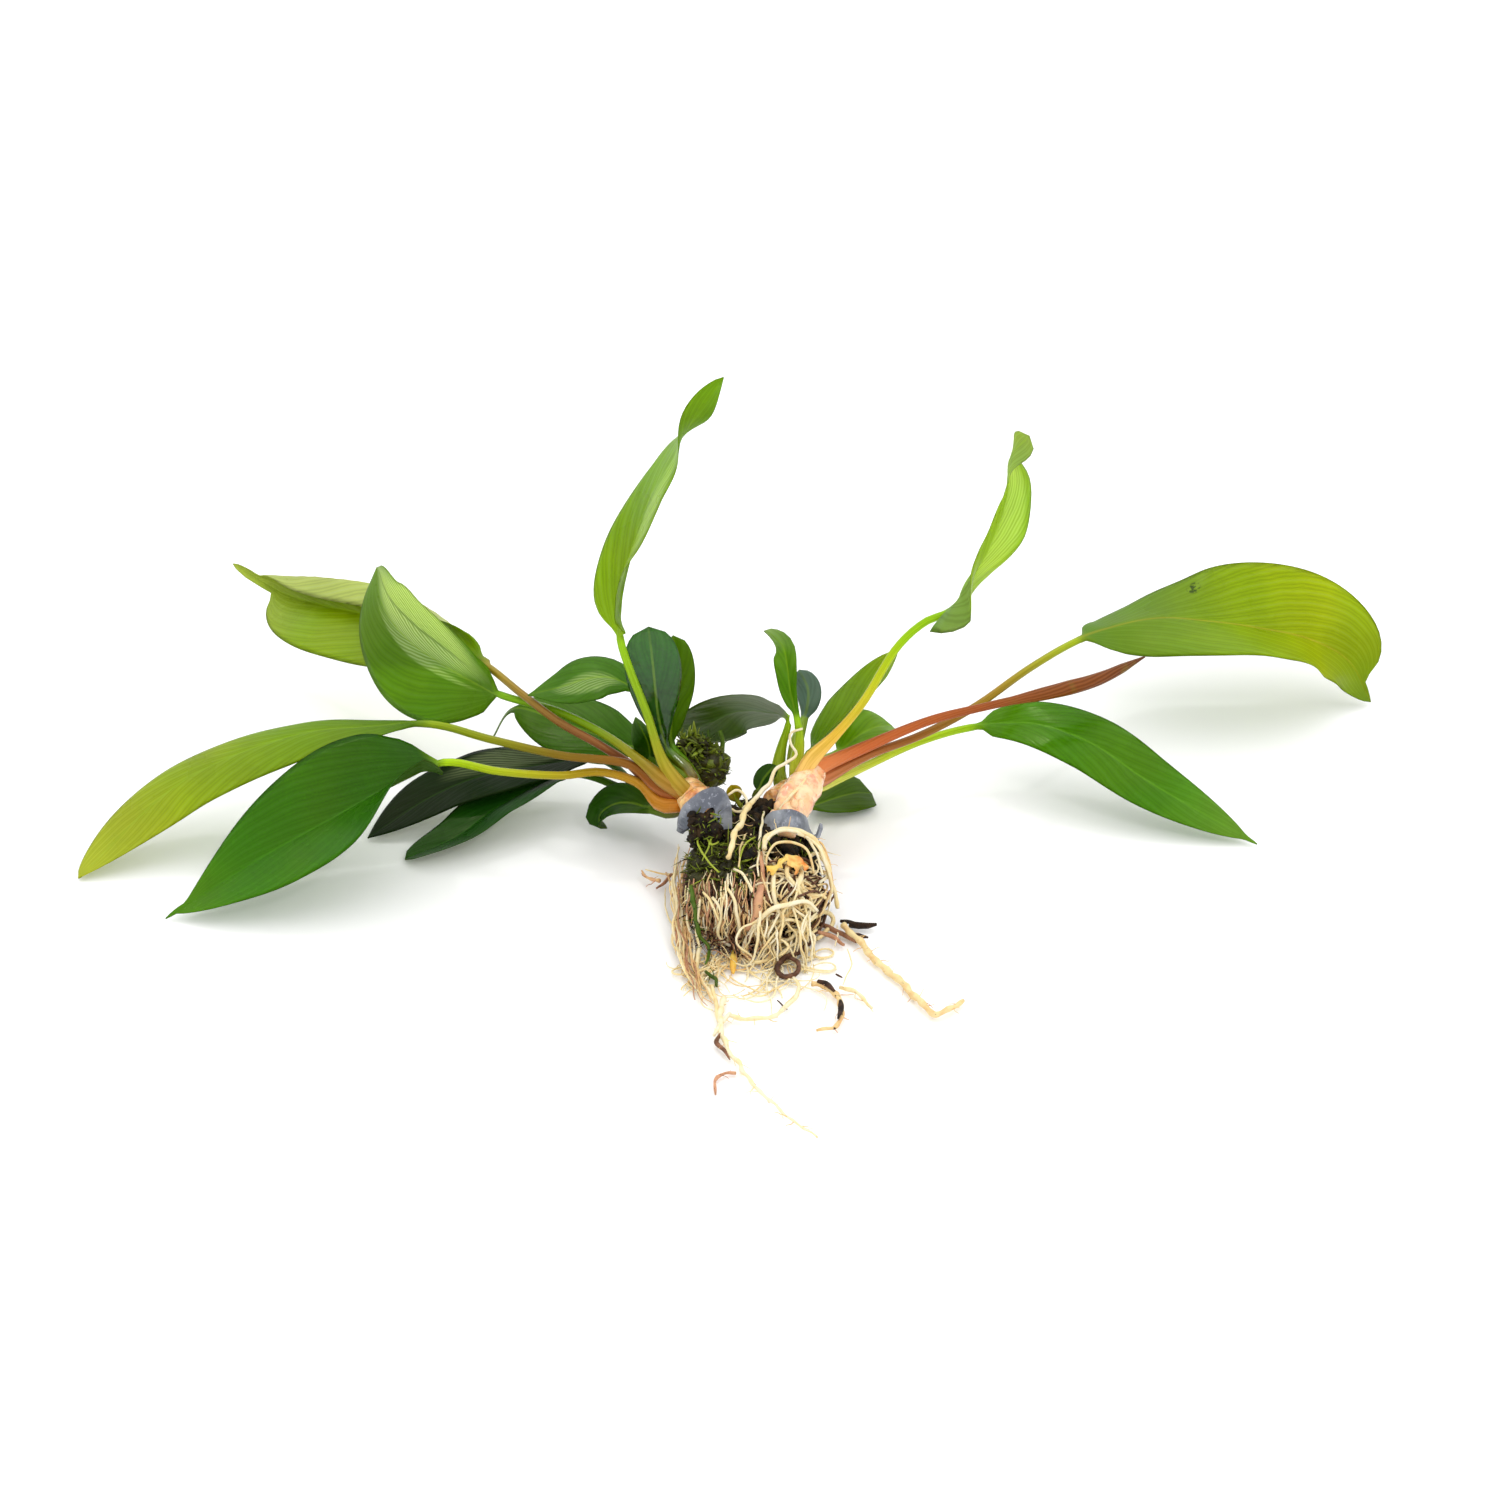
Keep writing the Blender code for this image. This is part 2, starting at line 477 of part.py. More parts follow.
def build_stone():
    bm = bmesh.new()
    bmesh.ops.create_uvsphere(bm, u_segments=STONE_SEGMENTS, v_segments=STONE_RINGS, radius=1)
    for vert in bm.verts:
        direction = vert.co.normalized()
        reach = stone_reach(direction, 0) * (1 - STONE_DENT * stone_dent(direction))
        vert.co = direction * reach * MM
        vert.co.z += STONE_MIDDLE_Z * MM
    edges = bm.verts[:] + bm.edges[:] + bm.faces[:]
    bmesh.ops.bisect_plane(bm, geom=edges, plane_co=(0, 0, 0), plane_no=(0, 0, -1),
                           clear_outer=True)
    bmesh.ops.holes_fill(bm, edges=[edge for edge in bm.edges if edge.is_boundary])
    bmesh.ops.recalc_face_normals(bm, faces=bm.faces)
    return add_object("stone", finished_mesh("stone", bm), STONE_COLOUR, 0.7)


def mat_point(x, degrees, grow):
    """A point off the stone in the upright plane at x, at an angle from its back over its top."""
    y = math.cos(math.radians(degrees))
    z = math.sin(math.radians(degrees))
    narrow = (1 - abs(x / (STONE_HALF_X + grow)) ** STONE_SQUARENESS) ** (1 / STONE_SQUARENESS)
    reach = stone_reach((0, y, z), grow) * narrow
    return x, reach * y, max(MAT_FLOOR, STONE_MIDDLE_Z + reach * z)


def build_mat(name, mat):
    """A pad that lies over part of the stone, thickest in its middle."""
    start, end = mat["x"]
    angles = np.linspace(*mat["angle"], MAT_ARC_POINTS)
    rings = []
    for x in np.linspace(start, end, MAT_STATIONS):
        share = (x - start) / (end - start)
        thick = MAT_THICKNESS * (0.35 + 0.65 * math.sin(math.pi * share))
        outer = [mat_point(x, angle, MAT_GAP + thick) for angle in angles]
        inner = [mat_point(x, angle, MAT_GAP) for angle in angles[::-1]]
        rings.append(outer + inner)
    return loft(name, rings, mat["colour"], 0.8)


def build_floor_mat(name, mat):
    """A low heap of roots on the table, oval from above."""
    start, end = mat["x"]
    middle_y = (mat["back"] + mat["front"]) / 2
    half_y = (mat["back"] - mat["front"]) / 2
    rings = []
    for share in np.linspace(-1, 1, MAT_STATIONS + 2):
        x = (start + end) / 2 + share * (end - start) / 2
        size = 0.2 + 0.8 * math.sqrt(1 - share * share)
        arc = np.linspace(0, math.pi, MAT_ARC_POINTS)
        rings.append([(x, middle_y + half_y * size * math.cos(angle),
                       MAT_FLOOR + mat["height"] * size * math.sin(angle)) for angle in arc])
    return loft(name, rings, mat["colour"], 0.8)


def build_moss_clump():
    bm = bmesh.new()
    bmesh.ops.create_icosphere(bm, subdivisions=2, radius=1)
    for vert in bm.verts:
        lump = 1 - 0.12 * stone_dent(vert.co)
        vert.co = [(c + h * lump * v) * MM
                   for c, h, v in zip(MOSS_CLUMP["centre"], MOSS_CLUMP["half"], vert.co)]
    return add_object("moss_clump", finished_mesh("moss_clump", bm), MOSS_CLUMP["colour"], 0.9)


# ---------------------------------------------------------------- crowns, roots and bands
def build_tube(name, points, radii, colour):
    """A tapered tube along a smooth curve: a crown, a root or a rolled leaf."""
    curve = smooth_curve(points)
    lengths = lengths_along(curve)
    count = max(4, round(lengths[-1] / ROOT_POINT_SPACING) + 1)
    path = bpy.data.curves.new(name, "CURVE")
    path.dimensions = "3D"
    path.bevel_depth = MM
    path.bevel_resolution = 2 if max(radii) > 1.5 else 1
    path.use_fill_caps = True
    spline = path.splines.new("POLY")
    spline.points.add(count - 1)
    spline.use_smooth = True
    for point, share in zip(spline.points, np.linspace(0, 1, count)):
        place = point_at(curve, lengths, share * lengths[-1]) * MM
        point.co = (*place, 1)
        point.radius = read_along(radii, share)
    path.materials.append(make_material(name, colour, 0.6))
    item = bpy.data.objects.new(name, path)
    bpy.data.collections[COLLECTION].objects.link(item)
    return item


def build_band(name, band):
    """A strip of metal: the surface swept across its middle line, thickened."""
    curve = smooth_curve(band["middle"])
    lengths = lengths_along(curve)
    axes = np.array(band["axes"], float)
    bm = bmesh.new()
    pairs = []
    for share in np.linspace(0, 1, BAND_STEPS + 1):
        middle = point_at(curve, lengths, share * lengths[-1])
        axis = unit(read_along(axes, share))
        half = band["width"] / 2 * read_along(band["widths"], share)
        pairs.append([bm.verts.new((middle + axis * end * half) * MM) for end in (-1, 1)])
    for pair, following in zip(pairs, pairs[1:]):
        bm.faces.new((pair[0], pair[1], following[1], following[0]))
    item = add_object(name, finished_mesh(name, bm), BAND_COLOUR, 0.45, 0.6)
    solidify = item.modifiers.new("Thickness", "SOLIDIFY")
    solidify.thickness = BAND_THICKNESS * MM
    solidify.offset = 0
    return item


def main():
    clear_scene()
    collection = bpy.data.collections.new(COLLECTION)
    bpy.context.scene.collection.children.link(collection)
    build_stone()
    for name, mat in MATS.items():
        build_mat(name, mat)
    build_floor_mat("root_mat_floor", FLOOR_MAT)
    build_moss_clump()
    for name, band in BANDS.items():
        build_band(name, band)
    for name, (points, radii, colour) in TUBES.items():
        build_tube(name, points, radii, colour)
    for name, leaf in LEAVES.items():
        build_leaf(name, leaf)


main()
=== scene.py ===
"""The looks of an anubias of two crowns on a small stone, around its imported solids.

Millimetres in the tables, metres in the scene. The leaves follow the same tables as their
solids, cut finer and thinner; crowns, roots, moss and stone get their lumps, strands and grain.
"""
import json
import math

import bmesh
import bpy
import numpy as np
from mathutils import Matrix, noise


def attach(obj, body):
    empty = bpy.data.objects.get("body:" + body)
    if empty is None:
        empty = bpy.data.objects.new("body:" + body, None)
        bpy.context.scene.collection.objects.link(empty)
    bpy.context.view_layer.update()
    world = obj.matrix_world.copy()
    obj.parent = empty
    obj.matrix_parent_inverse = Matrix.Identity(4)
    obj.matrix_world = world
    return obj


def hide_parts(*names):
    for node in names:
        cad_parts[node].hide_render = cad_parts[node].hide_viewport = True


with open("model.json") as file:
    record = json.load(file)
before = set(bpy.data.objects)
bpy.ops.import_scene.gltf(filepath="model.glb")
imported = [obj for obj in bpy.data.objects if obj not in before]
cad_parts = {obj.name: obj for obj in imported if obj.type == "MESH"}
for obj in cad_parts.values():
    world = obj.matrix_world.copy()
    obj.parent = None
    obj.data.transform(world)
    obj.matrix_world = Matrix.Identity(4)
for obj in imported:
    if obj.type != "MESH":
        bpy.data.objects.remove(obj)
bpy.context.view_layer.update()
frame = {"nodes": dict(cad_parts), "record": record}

MM = 0.001
FULL_TURN = 2 * math.pi

# Blender's noise vectors, which the strands wander by, are the same each run only with a seed.
NOISE_SEED = 7
noise.seed_set(NOISE_SEED)

# The camera stands where the photograph's did, 30 degrees above the table.
CAMERA_PLACE = (-0.0017, -0.9701, 0.6197)
CAMERA_TILT = 60.0
LENS = 82.8
SENSOR = 36.0

# The table lies just under the roots. Lamps: strength, width in the sky and tilt, in degrees.
FLOOR_Z = -0.0003
FLOOR_HALF = 6.0
LAMPS = {"overhead": (0.85, 100, (2, 4)), "back_lamp": (0.22, 4, (-40, 25)),
         "front_lamp": (0.22, 4, (22, -8))}

# A leaf's mesh: places across the blade and how they crowd to the midrib, ring spacing along
# stalk and blade, and steps in which a half-blade's bend is summed up.
ACROSS = 25
CROWDING = 1.3
STALK_STEP = 3.0
BLADE_STEP = 1.9
PROFILE_STEPS = 96

# A blade's form: its thickness, the shares of its length over which the stalk flattens, the
# outline opens and a lobe reaches back, and how the midrib thins out to the tip.
BLADE_THICKNESS = 0.5
NECK = 0.12
BASE_EASE = 0.07
LOBE_SHARE = 0.25
TAPER = 1.2

# Veins and low waves: how far apart they lie along the midrib and how far forward they run, in
# half-widths. Waves, the ripple of the rim and a crease have a height or pitch of their own.
VEIN_SPACING = 14.0
VEIN_SWEEP = 3.4
WAVE_SPACING = 7.5
WAVE_SWEEP = 1.3
SWEEP_POWER = 0.85
WAVE_HEIGHT = 0.09
RIPPLE_PITCH = 9.0
FINE_RIPPLE_PITCH = 4.3
CREASE_DEPTH = 0.7
CREASE_WIDTH = 0.09
GROOVE_DEPTH = 0.3

# Half-widths are kept at a mesh's corners as shares of this; the stalk's colour gives way to
# the blade's over this share of the leaf.
WIDTH_UNIT = 50.0
STALK_SHARE = 0.02

# The stone's rounded block, as in its solid, and the lowest that a strand's middle lies.
STONE_HALF_X = 22.0
STONE_HALF_Y = 24.0
STONE_RISE = 10.0
STONE_DROP = 18.0
STONE_MIDDLE_Z = 11.0
STONE_SQUARENESS = 2.6
STONE_DENT = 0.07
LOWEST = 0.5

LEAVES = {
    "leaf_far_left": dict(
        stalk=[(-31, 22, 32), (-42, 31, 36), (-65, 32, 39), (-89, 36, 43), (-110, 48, 42)],
        rib=[(-110, 48, 42), (-131, 50, 40), (-155, 50, 37), (-194, 41, 24), (-228, 15, 1)],
        width=(33, 26), outline=(1.1, (1.0, 0.6)), tail=1.5, faces=(0, -0.05, 1), fold=[-2],
        curl=[0, -10, -10, 0]),
    "leaf_front_left": dict(
        stalk=[(-31, 20, 27), (-39, 29, 30), (-52, 33, 32), (-65, 29, 33), (-86, 30, 34),
               (-105, 36, 34)],
        rib=[(-105, 36, 34), (-119, 27, 32), (-138, 16, 26), (-163, 5, 16), (-195, -10, 1)],
        width=50, outline=((0.5, 0.6), (0.8, 1.15)), reach=(0.97, 0.95), tail=1.2,
        faces=(0, -0.3, 1), fold=([60, 55, 25, 15, 15, 15], [15])),
    "leaf_folded": dict(
        stalk=[(-30, 20, 36), (-38, 28, 39), (-49, 37, 43), (-66, 49, 46), (-87, 63, 45)],
        rib=[(-87, 63, 45), (-98, 73, 45), (-110, 85, 46), (-120, 95, 48), (-128, 105, 52),
             (-132, 112, 57), (-134, 122, 64)],
        width=46, outline=((0.8, 0.7), (0.85, 0.65)), faces=(-0.35, -0.75, 0.75),
        turn=[-30, -45], fold=([15], [20, 15, 5, 5]), curl=[0, 10, 10, 0]),
    "leaf_curled": dict(
        stalk=[(-33, 26, 30), (-42, 36, 33), (-52, 37, 40), (-66, 44, 45), (-79, 56, 49),
               (-92, 74, 50)],
        rib=[(-92, 74, 50), (-105, 91, 48), (-121, 112, 44), (-139, 133, 39), (-159, 149, 35),
             (-175, 161, 34), (-193, 170, 41)],
        width=46, outline=(1.0, (0.45, 0.7)), reach=(0.86, 0.93), tail=2.4,
        faces=(0, -0.7, 0.7), fold=([0, 0, 5, 20, 25, 25], [10, 15, 15, 15, 15]),
        curl=([0], [0, 100, 160, 165, 150, 60]), bend=(0.35, 0.7)),
    "leaf_dark_low": dict(
        stalk=[(-34, 38, 18), (-39, 45, 17), (-54, 69, 16)],
        rib=[(-54, 69, 16), (-75, 65, 16), (-95, 59, 15), (-112, 55, 9), (-133, 41, 1)],
        width=27, outline=(0.9, 0.9), faces=(0, -0.1, 1)),
    "leaf_floor_left": dict(
        stalk=[(-32, 43, 15), (-39, 50, 12), (-63, 64, 13)],
        rib=[(-63, 64, 13), (-88, 47, 10), (-102, 35, 5), (-119, 27, 1)],
        width=21, outline=(0.5, 0.5), faces=(0, 0.1, 1), fold=[15]),
    "leaf_back_left": dict(
        stalk=[(-27, 29, 36), (-32, 36, 42), (-36, 43, 49), (-41, 50, 54)], radius=(1.2, 1.1),
        rib=[(-41, 50, 54), (-48, 53, 57), (-56, 53, 57), (-66, 52, 54), (-77, 52, 51)],
        width=21, outline=(0.8, 1.1), faces=(0.1, -0.3, 1), curl=[-10]),
    "leaf_back_low": dict(
        stalk=[(-30, 34, 26), (-34, 39, 28), (-36, 47, 27), (-39, 55, 27)], radius=(1.2, 1.1),
        rib=[(-39, 55, 27), (-52, 60, 30), (-67, 67, 32), (-83, 75, 33), (-93, 86, 14)],
        width=27, outline=(0.6, 0.7), reach=0.68, tail=1.6, faces=(0, -0.4, 1), curl=[-10]),
    "leaf_upright_left": dict(
        stalk=[(-26, 19, 36), (-31, 24, 42), (-36, 26, 59), (-41, 25, 75), (-44, 23, 88)],
        rib=[(-44, 23, 88), (-44, 22, 101), (-42, 22, 112), (-35, 22, 136), (-23, 23, 161),
             (-10, 23, 181)],
        width=26, outline=(0.5, 0.7), faces=(0, -0.87, 0.4),
        fold=([20, 20, 15, 5, 0, 0, 10, 40], [60, 50, 40, 15, 0, -10, -10, 10]),
        turn=[-40, -45, -55, -62, -70, -82, -135, -150]),
    "leaf_glossy": dict(
        stalk=[(-23, 28, 36), (-26, 29, 39), (-29, 30, 42)], radius=(1.2, 1.0),
        rib=[(-29, 30, 42), (-32, 30, 54), (-33, 29, 66), (-34, 29, 79), (-35, 30, 89)],
        width=19, outline=(1.1, 0.45), faces=(0, -1, 0.3), fold=[10]),
    "leaf_behind_glossy": dict(
        stalk=[(-22, 31, 33), (-25, 35, 36), (-28, 38, 39)], radius=(1.1, 1.0),
        rib=[(-28, 38, 39), (-28, 38, 51), (-27, 37, 63), (-27, 35, 83)],
        width=14, outline=(0.8, 0.45), faces=(0.2, -1, 0.3), fold=[10]),
    "leaf_small_front": dict(
        stalk=[(-29, 30, 18), (-32, 31, 18), (-35, 32, 18)], radius=(1.1, 1.0),
        rib=[(-35, 32, 18), (-42, 36, 18), (-48, 40, 15), (-53, 43, 9), (-53, 44, 3)],
        width=15, outline=(0.6, 0.5), faces=(-0.3, -0.5, 1), fold=[10], curl=[20]),
    "leaf_inner": dict(
        stalk=[(-30, 30, 32), (-33, 33, 33), (-35, 37, 35)], radius=(1.0, 1.0),
        rib=[(-35, 37, 35), (-36, 37, 41), (-38, 36, 47), (-40, 35, 52)],
        width=12, outline=(0.5, 0.6), faces=(-0.2, -1, 0.4), fold=[35], curl=[20]),
    "leaf_arch": dict(
        stalk=[(8, 46, 26), (9, 49, 32), (11, 51, 43)], radius=(1.2, 1.0),
        rib=[(11, 51, 43), (3, 52, 45), (-6, 52, 45), (-17, 55, 38), (-28, 61, 31)],
        width=23, outline=(0.6, 0.6), faces=(0, 0, 1), turn=[60, 65, 65, 60, 60],
        curl=[-20]),
    "leaf_upright_small": dict(
        stalk=[(14, 38, 33), (15, 40, 40), (14, 41, 49)], radius=(1.2, 1.0),
        rib=[(14, 41, 49), (12, 44, 57), (11, 46, 65), (9, 45, 74), (3, 44, 80)],
        width=9, outline=(0.6, 0.5), faces=(0, -0.87, 0.4), turn=[-30, -30, -10, 60],
        fold=[25]),
    "leaf_grey_back": dict(
        stalk=[(14, 50, 33), (16, 55, 37), (17, 58, 39)], radius=(1.1, 1.0),
        rib=[(17, 58, 39), (18, 58, 44), (18, 59, 50), (15, 59, 57)],
        width=9, outline=(0.6, 0.5), faces=(0.3, 1, -0.2), fold=[10]),
    "leaf_lance": dict(
        stalk=[(17, 43, 28), (18, 45, 29), (19, 47, 31)], radius=(1.2, 1.1),
        rib=[(19, 47, 31), (24, 51, 36), (32, 55, 43), (42, 65, 50), (49, 71, 58)],
        width=24, outline=(0.7, 0.75), faces=(-0.4, -0.8, 0.5), turn=[-60, -45],
        fold=([25], [10])),
    "leaf_upright_right": dict(
        stalk=[(19, 33, 37), (27, 37, 44), (36, 41, 54), (48, 50, 71), (57, 54, 78),
               (66, 55, 82)],
        rib=[(66, 55, 82), (71, 53, 94), (77, 52, 105), (81, 51, 117), (83, 52, 128),
             (83, 52, 139), (89, 51, 148)],
        width=24, outline=(0.35, 0.45), faces=(0, -0.87, 0.4), tail=2.6, lobe=12,
        turn=[54, 54, 54, 54, 54, 56, 65, 100, 170],
        fold=([80, 72, 30, 15, 15, 15, 10, 5], [-20, -10, 0, 15, 15, 15, 5, 5])),
    "leaf_big_right": dict(
        stalk=[(23, 39, 26), (39, 48, 30), (57, 58, 32), (76, 74, 34), (97, 97, 37),
               (115, 117, 37)],
        rib=[(115, 117, 37), (130, 127, 38), (146, 131, 39), (164, 132, 37), (183, 136, 32),
             (203, 140, 25), (217, 139, 17), (226, 135, 2)],
        width=54, outline=(0.85, (0.5, 0.8)), reach=(0.93, 1.0), tail=1.5,
        faces=(0, -0.26, 0.97), fold=([-25, -25, 5, 25, 35, 25], [-25, -5, 15, 18, 8, 5])),
    "leaf_lower_right": dict(
        stalk=[(22, 45, 20), (33, 53, 20), (58, 73, 21), (76, 81, 22)],
        rib=[(76, 81, 22), (96, 77, 26), (116, 67, 24), (136, 55, 15), (172, 37, 1)],
        width=26, outline=(0.65, 0.8), reach=0.97, faces=(0.1, -0.4, 1), fold=[5, 5, 5, 0],
        curl=[0, -10, -10, 0]),
    "leaf_right_behind": dict(
        stalk=[(20, 50, 24), (24, 57, 23), (29, 64, 22)], radius=(1.2, 1.0),
        rib=[(29, 64, 22), (35, 67, 26), (42, 74, 26), (48, 82, 22)],
        width=18, outline=(0.5, 0.5), faces=(0, -0.5, 1), fold=[10]),
    "leaf_floor_small": dict(
        stalk=[(15, 45, 12), (17, 50, 8), (19, 55, 5)], radius=(1.1, 1.0),
        rib=[(19, 55, 5), (27, 62, 4), (35, 66, 4), (41, 69, 2)],
        width=20, outline=(0.5, 0.3), faces=(0, -0.2, 1)),
    "leaf_yellow_bud": dict(
        stalk=[(-4, 17, 27), (-5, 18, 28), (-6, 19, 29)], radius=(0.7, 0.6),
        rib=[(-6, 19, 29), (-7, 20, 31), (-8, 21, 34)],
        width=6, outline=(0.6, 0.5), faces=(0.3, -0.9, 0.3), fold=[20]),
    "leaf_jagged_bud": dict(
        stalk=[(0, 33, 22), (0, 34, 23), (1, 34, 24)], radius=(0.9, 0.8),
        rib=[(1, 34, 24), (3, 37, 27), (7, 41, 30)],
        width=7, outline=(0.5, 0.5), faces=(-0.5, -0.8, 0.3), fold=[10]),
}
LEAF_DEFAULTS = dict(radius=(1.5, 1.3), turn=[0], fold=[5], curl=[0], bend=(0.0, 1.0),
                     reach=1.0, tail=1.2, lobe=0.0)

# How each leaf looks. slot: its material slot; into: where the stalk's foot sinks into its
# crown; blade and under: colours of its two sides from base to tip; stalk: from foot to blade;
# rib: of the midrib; flare: mm by which the foot widens; wet: 1 for a film of water, less for a
# damp skin; rough: of the dry skin; shine: how much light it mirrors; spots: share of brown
# spots; glow: light that comes through; ripple: mm by which the rim waves; painted_sheen: soft
# pale patches of painted sheen, highlights painted into the skin's colour, each its middle across
# (-1 left to 1 right) and along, its reach across and along, and its strength; crease: where one
# lies beside the midrib, as a share of the right half, with a painted shade line along it; mark:
# where a dark scar lies, across (0 left to 1 right) and along the blade.
LOOK_DEFAULTS = dict(under=[(135, 165, 90)], rib=(150, 185, 60), flare=1.3, wet=0.0, rough=0.3,
                     shine=0.3, spots=0.0, glow=0.5, ripple=0.18, painted_sheen=(), crease=0.0,
                     mark=None)
LOOKS = {
    "leaf_far_left": dict(
        slot="leaf_yellow_green", into=(-25, 21, 30),
        blade=[(88, 146, 15), (132, 182, 22), (166, 202, 32), (208, 224, 70)],
        stalk=[(150, 75, 40), (120, 95, 20), (135, 160, 25)]),
    "leaf_front_left": dict(
        slot="leaf_deep_green", into=(-24, 19, 28),
        blade=[(35, 105, 8), (48, 125, 8), (62, 145, 10), (80, 160, 25)],
        stalk=[(190, 115, 45), (165, 140, 25), (165, 205, 25)], rib=(80, 150, 30), wet=0.3),
    "leaf_folded": dict(
        slot="leaf_mid_green", into=(-24, 19, 32),
        blade=[(85, 155, 12), (95, 165, 15), (95, 160, 20), (130, 180, 70)],
        stalk=[(165, 110, 50), (110, 140, 15), (115, 165, 15)],
        painted_sheen=((0.5, 0.55, 0.72, 0.5, 0.8), (-0.14, 0.5, 0.07, 0.4, 0.4)), crease=0.35),
    "leaf_curled": dict(
        slot="leaf_yellow_green", into=(-26, 23, 30),
        blade=[(112, 160, 8), (124, 168, 8), (126, 170, 8), (176, 200, 80)], under=[(215, 236, 130)],
        stalk=[(160, 85, 60), (130, 85, 50), (150, 130, 40)], glow=0.22),
    "leaf_dark_low": dict(
        slot="leaf_dark_green", into=(-28, 33, 20), blade=[(14, 48, 10), (10, 40, 8), (10, 40, 10)],
        stalk=[(60, 70, 20), (60, 100, 20)], rib=(50, 85, 25), shine=0.1, glow=0.1,
        painted_sheen=((0.45, 0.35, 0.5, 0.3, 0.18),)),
    "leaf_floor_left": dict(
        slot="leaf_dark_green", into=(-26, 38, 17),
        blade=[(40, 100, 20), (25, 80, 20), (30, 95, 20)], stalk=[(60, 70, 20), (60, 100, 20)],
        rib=(55, 105, 30), rough=0.28, shine=0.15, glow=0.15),
    "leaf_back_left": dict(
        slot="leaf_deep_green", into=(-23, 25, 33),
        blade=[(65, 130, 25), (75, 140, 30), (80, 145, 35), (95, 155, 45)],
        stalk=[(90, 110, 20), (90, 140, 25)], rough=0.25, painted_sheen=((-0.2, 0.45, 0.5, 0.35, 0.45),)),
    "leaf_back_low": dict(
        slot="leaf_deep_green", into=(-25, 30, 26),
        blade=[(55, 115, 12), (65, 130, 12), (72, 135, 14), (120, 160, 50)],
        stalk=[(90, 100, 20), (80, 120, 20)]),
    "leaf_upright_left": dict(
        slot="leaf_mid_green", into=(-22, 18, 32),
        blade=[(150, 200, 28), (132, 185, 28), (130, 185, 30), (135, 190, 55)],
        under=[(140, 190, 60)], stalk=[(175, 130, 50), (135, 165, 25), (140, 190, 20)],
        painted_sheen=((0.5, 0.5, 0.35, 0.3, 0.35),)),
    "leaf_glossy": dict(
        slot="leaf_deep_green", into=(-21, 25, 33),
        blade=[(15, 75, 15), (15, 85, 20), (25, 105, 20), (45, 125, 20)],
        stalk=[(120, 100, 40), (80, 120, 20)], wet=1.0, shine=0.08, glow=0.2),
    "leaf_behind_glossy": dict(
        slot="leaf_deep_green", into=(-20, 27, 31),
        blade=[(60, 115, 15), (75, 130, 15), (85, 140, 18)], stalk=[(90, 110, 20), (90, 140, 25)]),
    "leaf_small_front": dict(
        slot="leaf_deep_green", into=(-24, 27, 22),
        blade=[(60, 110, 20), (35, 95, 15), (30, 85, 15)], stalk=[(90, 80, 30), (80, 110, 20)],
        rough=0.25),
    "leaf_inner": dict(
        slot="leaf_deep_green", into=(-25, 26, 30),
        blade=[(40, 100, 20), (30, 90, 20), (110, 150, 100)], stalk=[(120, 110, 40), (80, 120, 20)]),
    "leaf_arch": dict(
        slot="leaf_dark_green", into=(9, 40, 22), blade=[(60, 115, 30), (40, 90, 15), (35, 85, 15)],
        under=[(165, 180, 160), (150, 170, 142), (85, 120, 45), (75, 115, 35), (90, 135, 40)],
        stalk=[(150, 160, 50), (150, 195, 30)], rib=(95, 130, 60), wet=0.3, rough=0.25, glow=0.12),
    "leaf_upright_small": dict(
        slot="leaf_mid_green", into=(14, 34, 29),
        blade=[(90, 165, 20), (80, 155, 20), (100, 170, 50), (160, 195, 130)],
        stalk=[(190, 190, 60), (140, 190, 30)]),
    "leaf_grey_back": dict(
        slot="leaf_grey_green", into=(13, 45, 28), blade=[(120, 148, 135), (125, 152, 140)],
        under=[(120, 148, 135)], stalk=[(150, 160, 60), (130, 160, 60)], glow=0.15),
    "leaf_lance": dict(
        slot="leaf_mid_green", into=(15, 38, 26),
        blade=[(105, 160, 8), (122, 172, 8), (132, 180, 10), (142, 185, 20)],
        stalk=[(160, 150, 50), (120, 155, 20)], rib=(150, 160, 40)),
    "leaf_upright_right": dict(
        slot="leaf_mid_green", into=(15, 28, 32),
        blade=[(150, 200, 45), (150, 200, 50), (145, 200, 45), (185, 215, 80)],
        under=[(180, 205, 165)],
        stalk=[(240, 190, 110), (225, 180, 70), (190, 190, 40), (150, 195, 15), (140, 190, 15)],
        painted_sheen=((0.3, 0.5, 0.6, 0.4, 0.4),)),
    "leaf_big_right": dict(
        slot="leaf_yellow_green", into=(18, 31, 28),
        blade=[(95, 150, 50), (120, 170, 45), (155, 195, 15), (175, 205, 5), (125, 170, 35)],
        stalk=[(200, 120, 80), (140, 85, 40), (150, 120, 30), (150, 170, 20)], rib=(190, 170, 60),
        mark=(0.15, 0.38)),
    "leaf_lower_right": dict(
        slot="leaf_mid_green", into=(16, 37, 23),
        blade=[(85, 165, 15), (68, 150, 12), (75, 155, 15), (115, 175, 55)],
        stalk=[(220, 215, 110), (190, 205, 50), (150, 195, 20)], rib=(120, 180, 55), wet=0.3,
        rough=0.28),
    "leaf_right_behind": dict(
        slot="leaf_mid_green", into=(15, 44, 23),
        blade=[(100, 165, 10), (115, 175, 10), (125, 182, 15)],
        stalk=[(150, 150, 50), (120, 155, 20)]),
    "leaf_floor_small": dict(
        slot="leaf_deep_green", into=(13, 40, 17),
        blade=[(90, 135, 30), (80, 125, 25), (75, 120, 25)], stalk=[(110, 110, 40), (100, 130, 25)],
        spots=0.5),
    "leaf_yellow_bud": dict(
        slot="leaf_yellow", into=(-3, 15, 26), blade=[(120, 120, 10), (215, 195, 25)],
        stalk=[(110, 110, 20)], flare=0.2, ripple=0.0),
    "leaf_jagged_bud": dict(
        slot="leaf_deep_green", into=(1, 31, 21), blade=[(25, 70, 10), (40, 95, 15)],
        stalk=[(70, 80, 20)], flare=0.2, ripple=0.4),
}
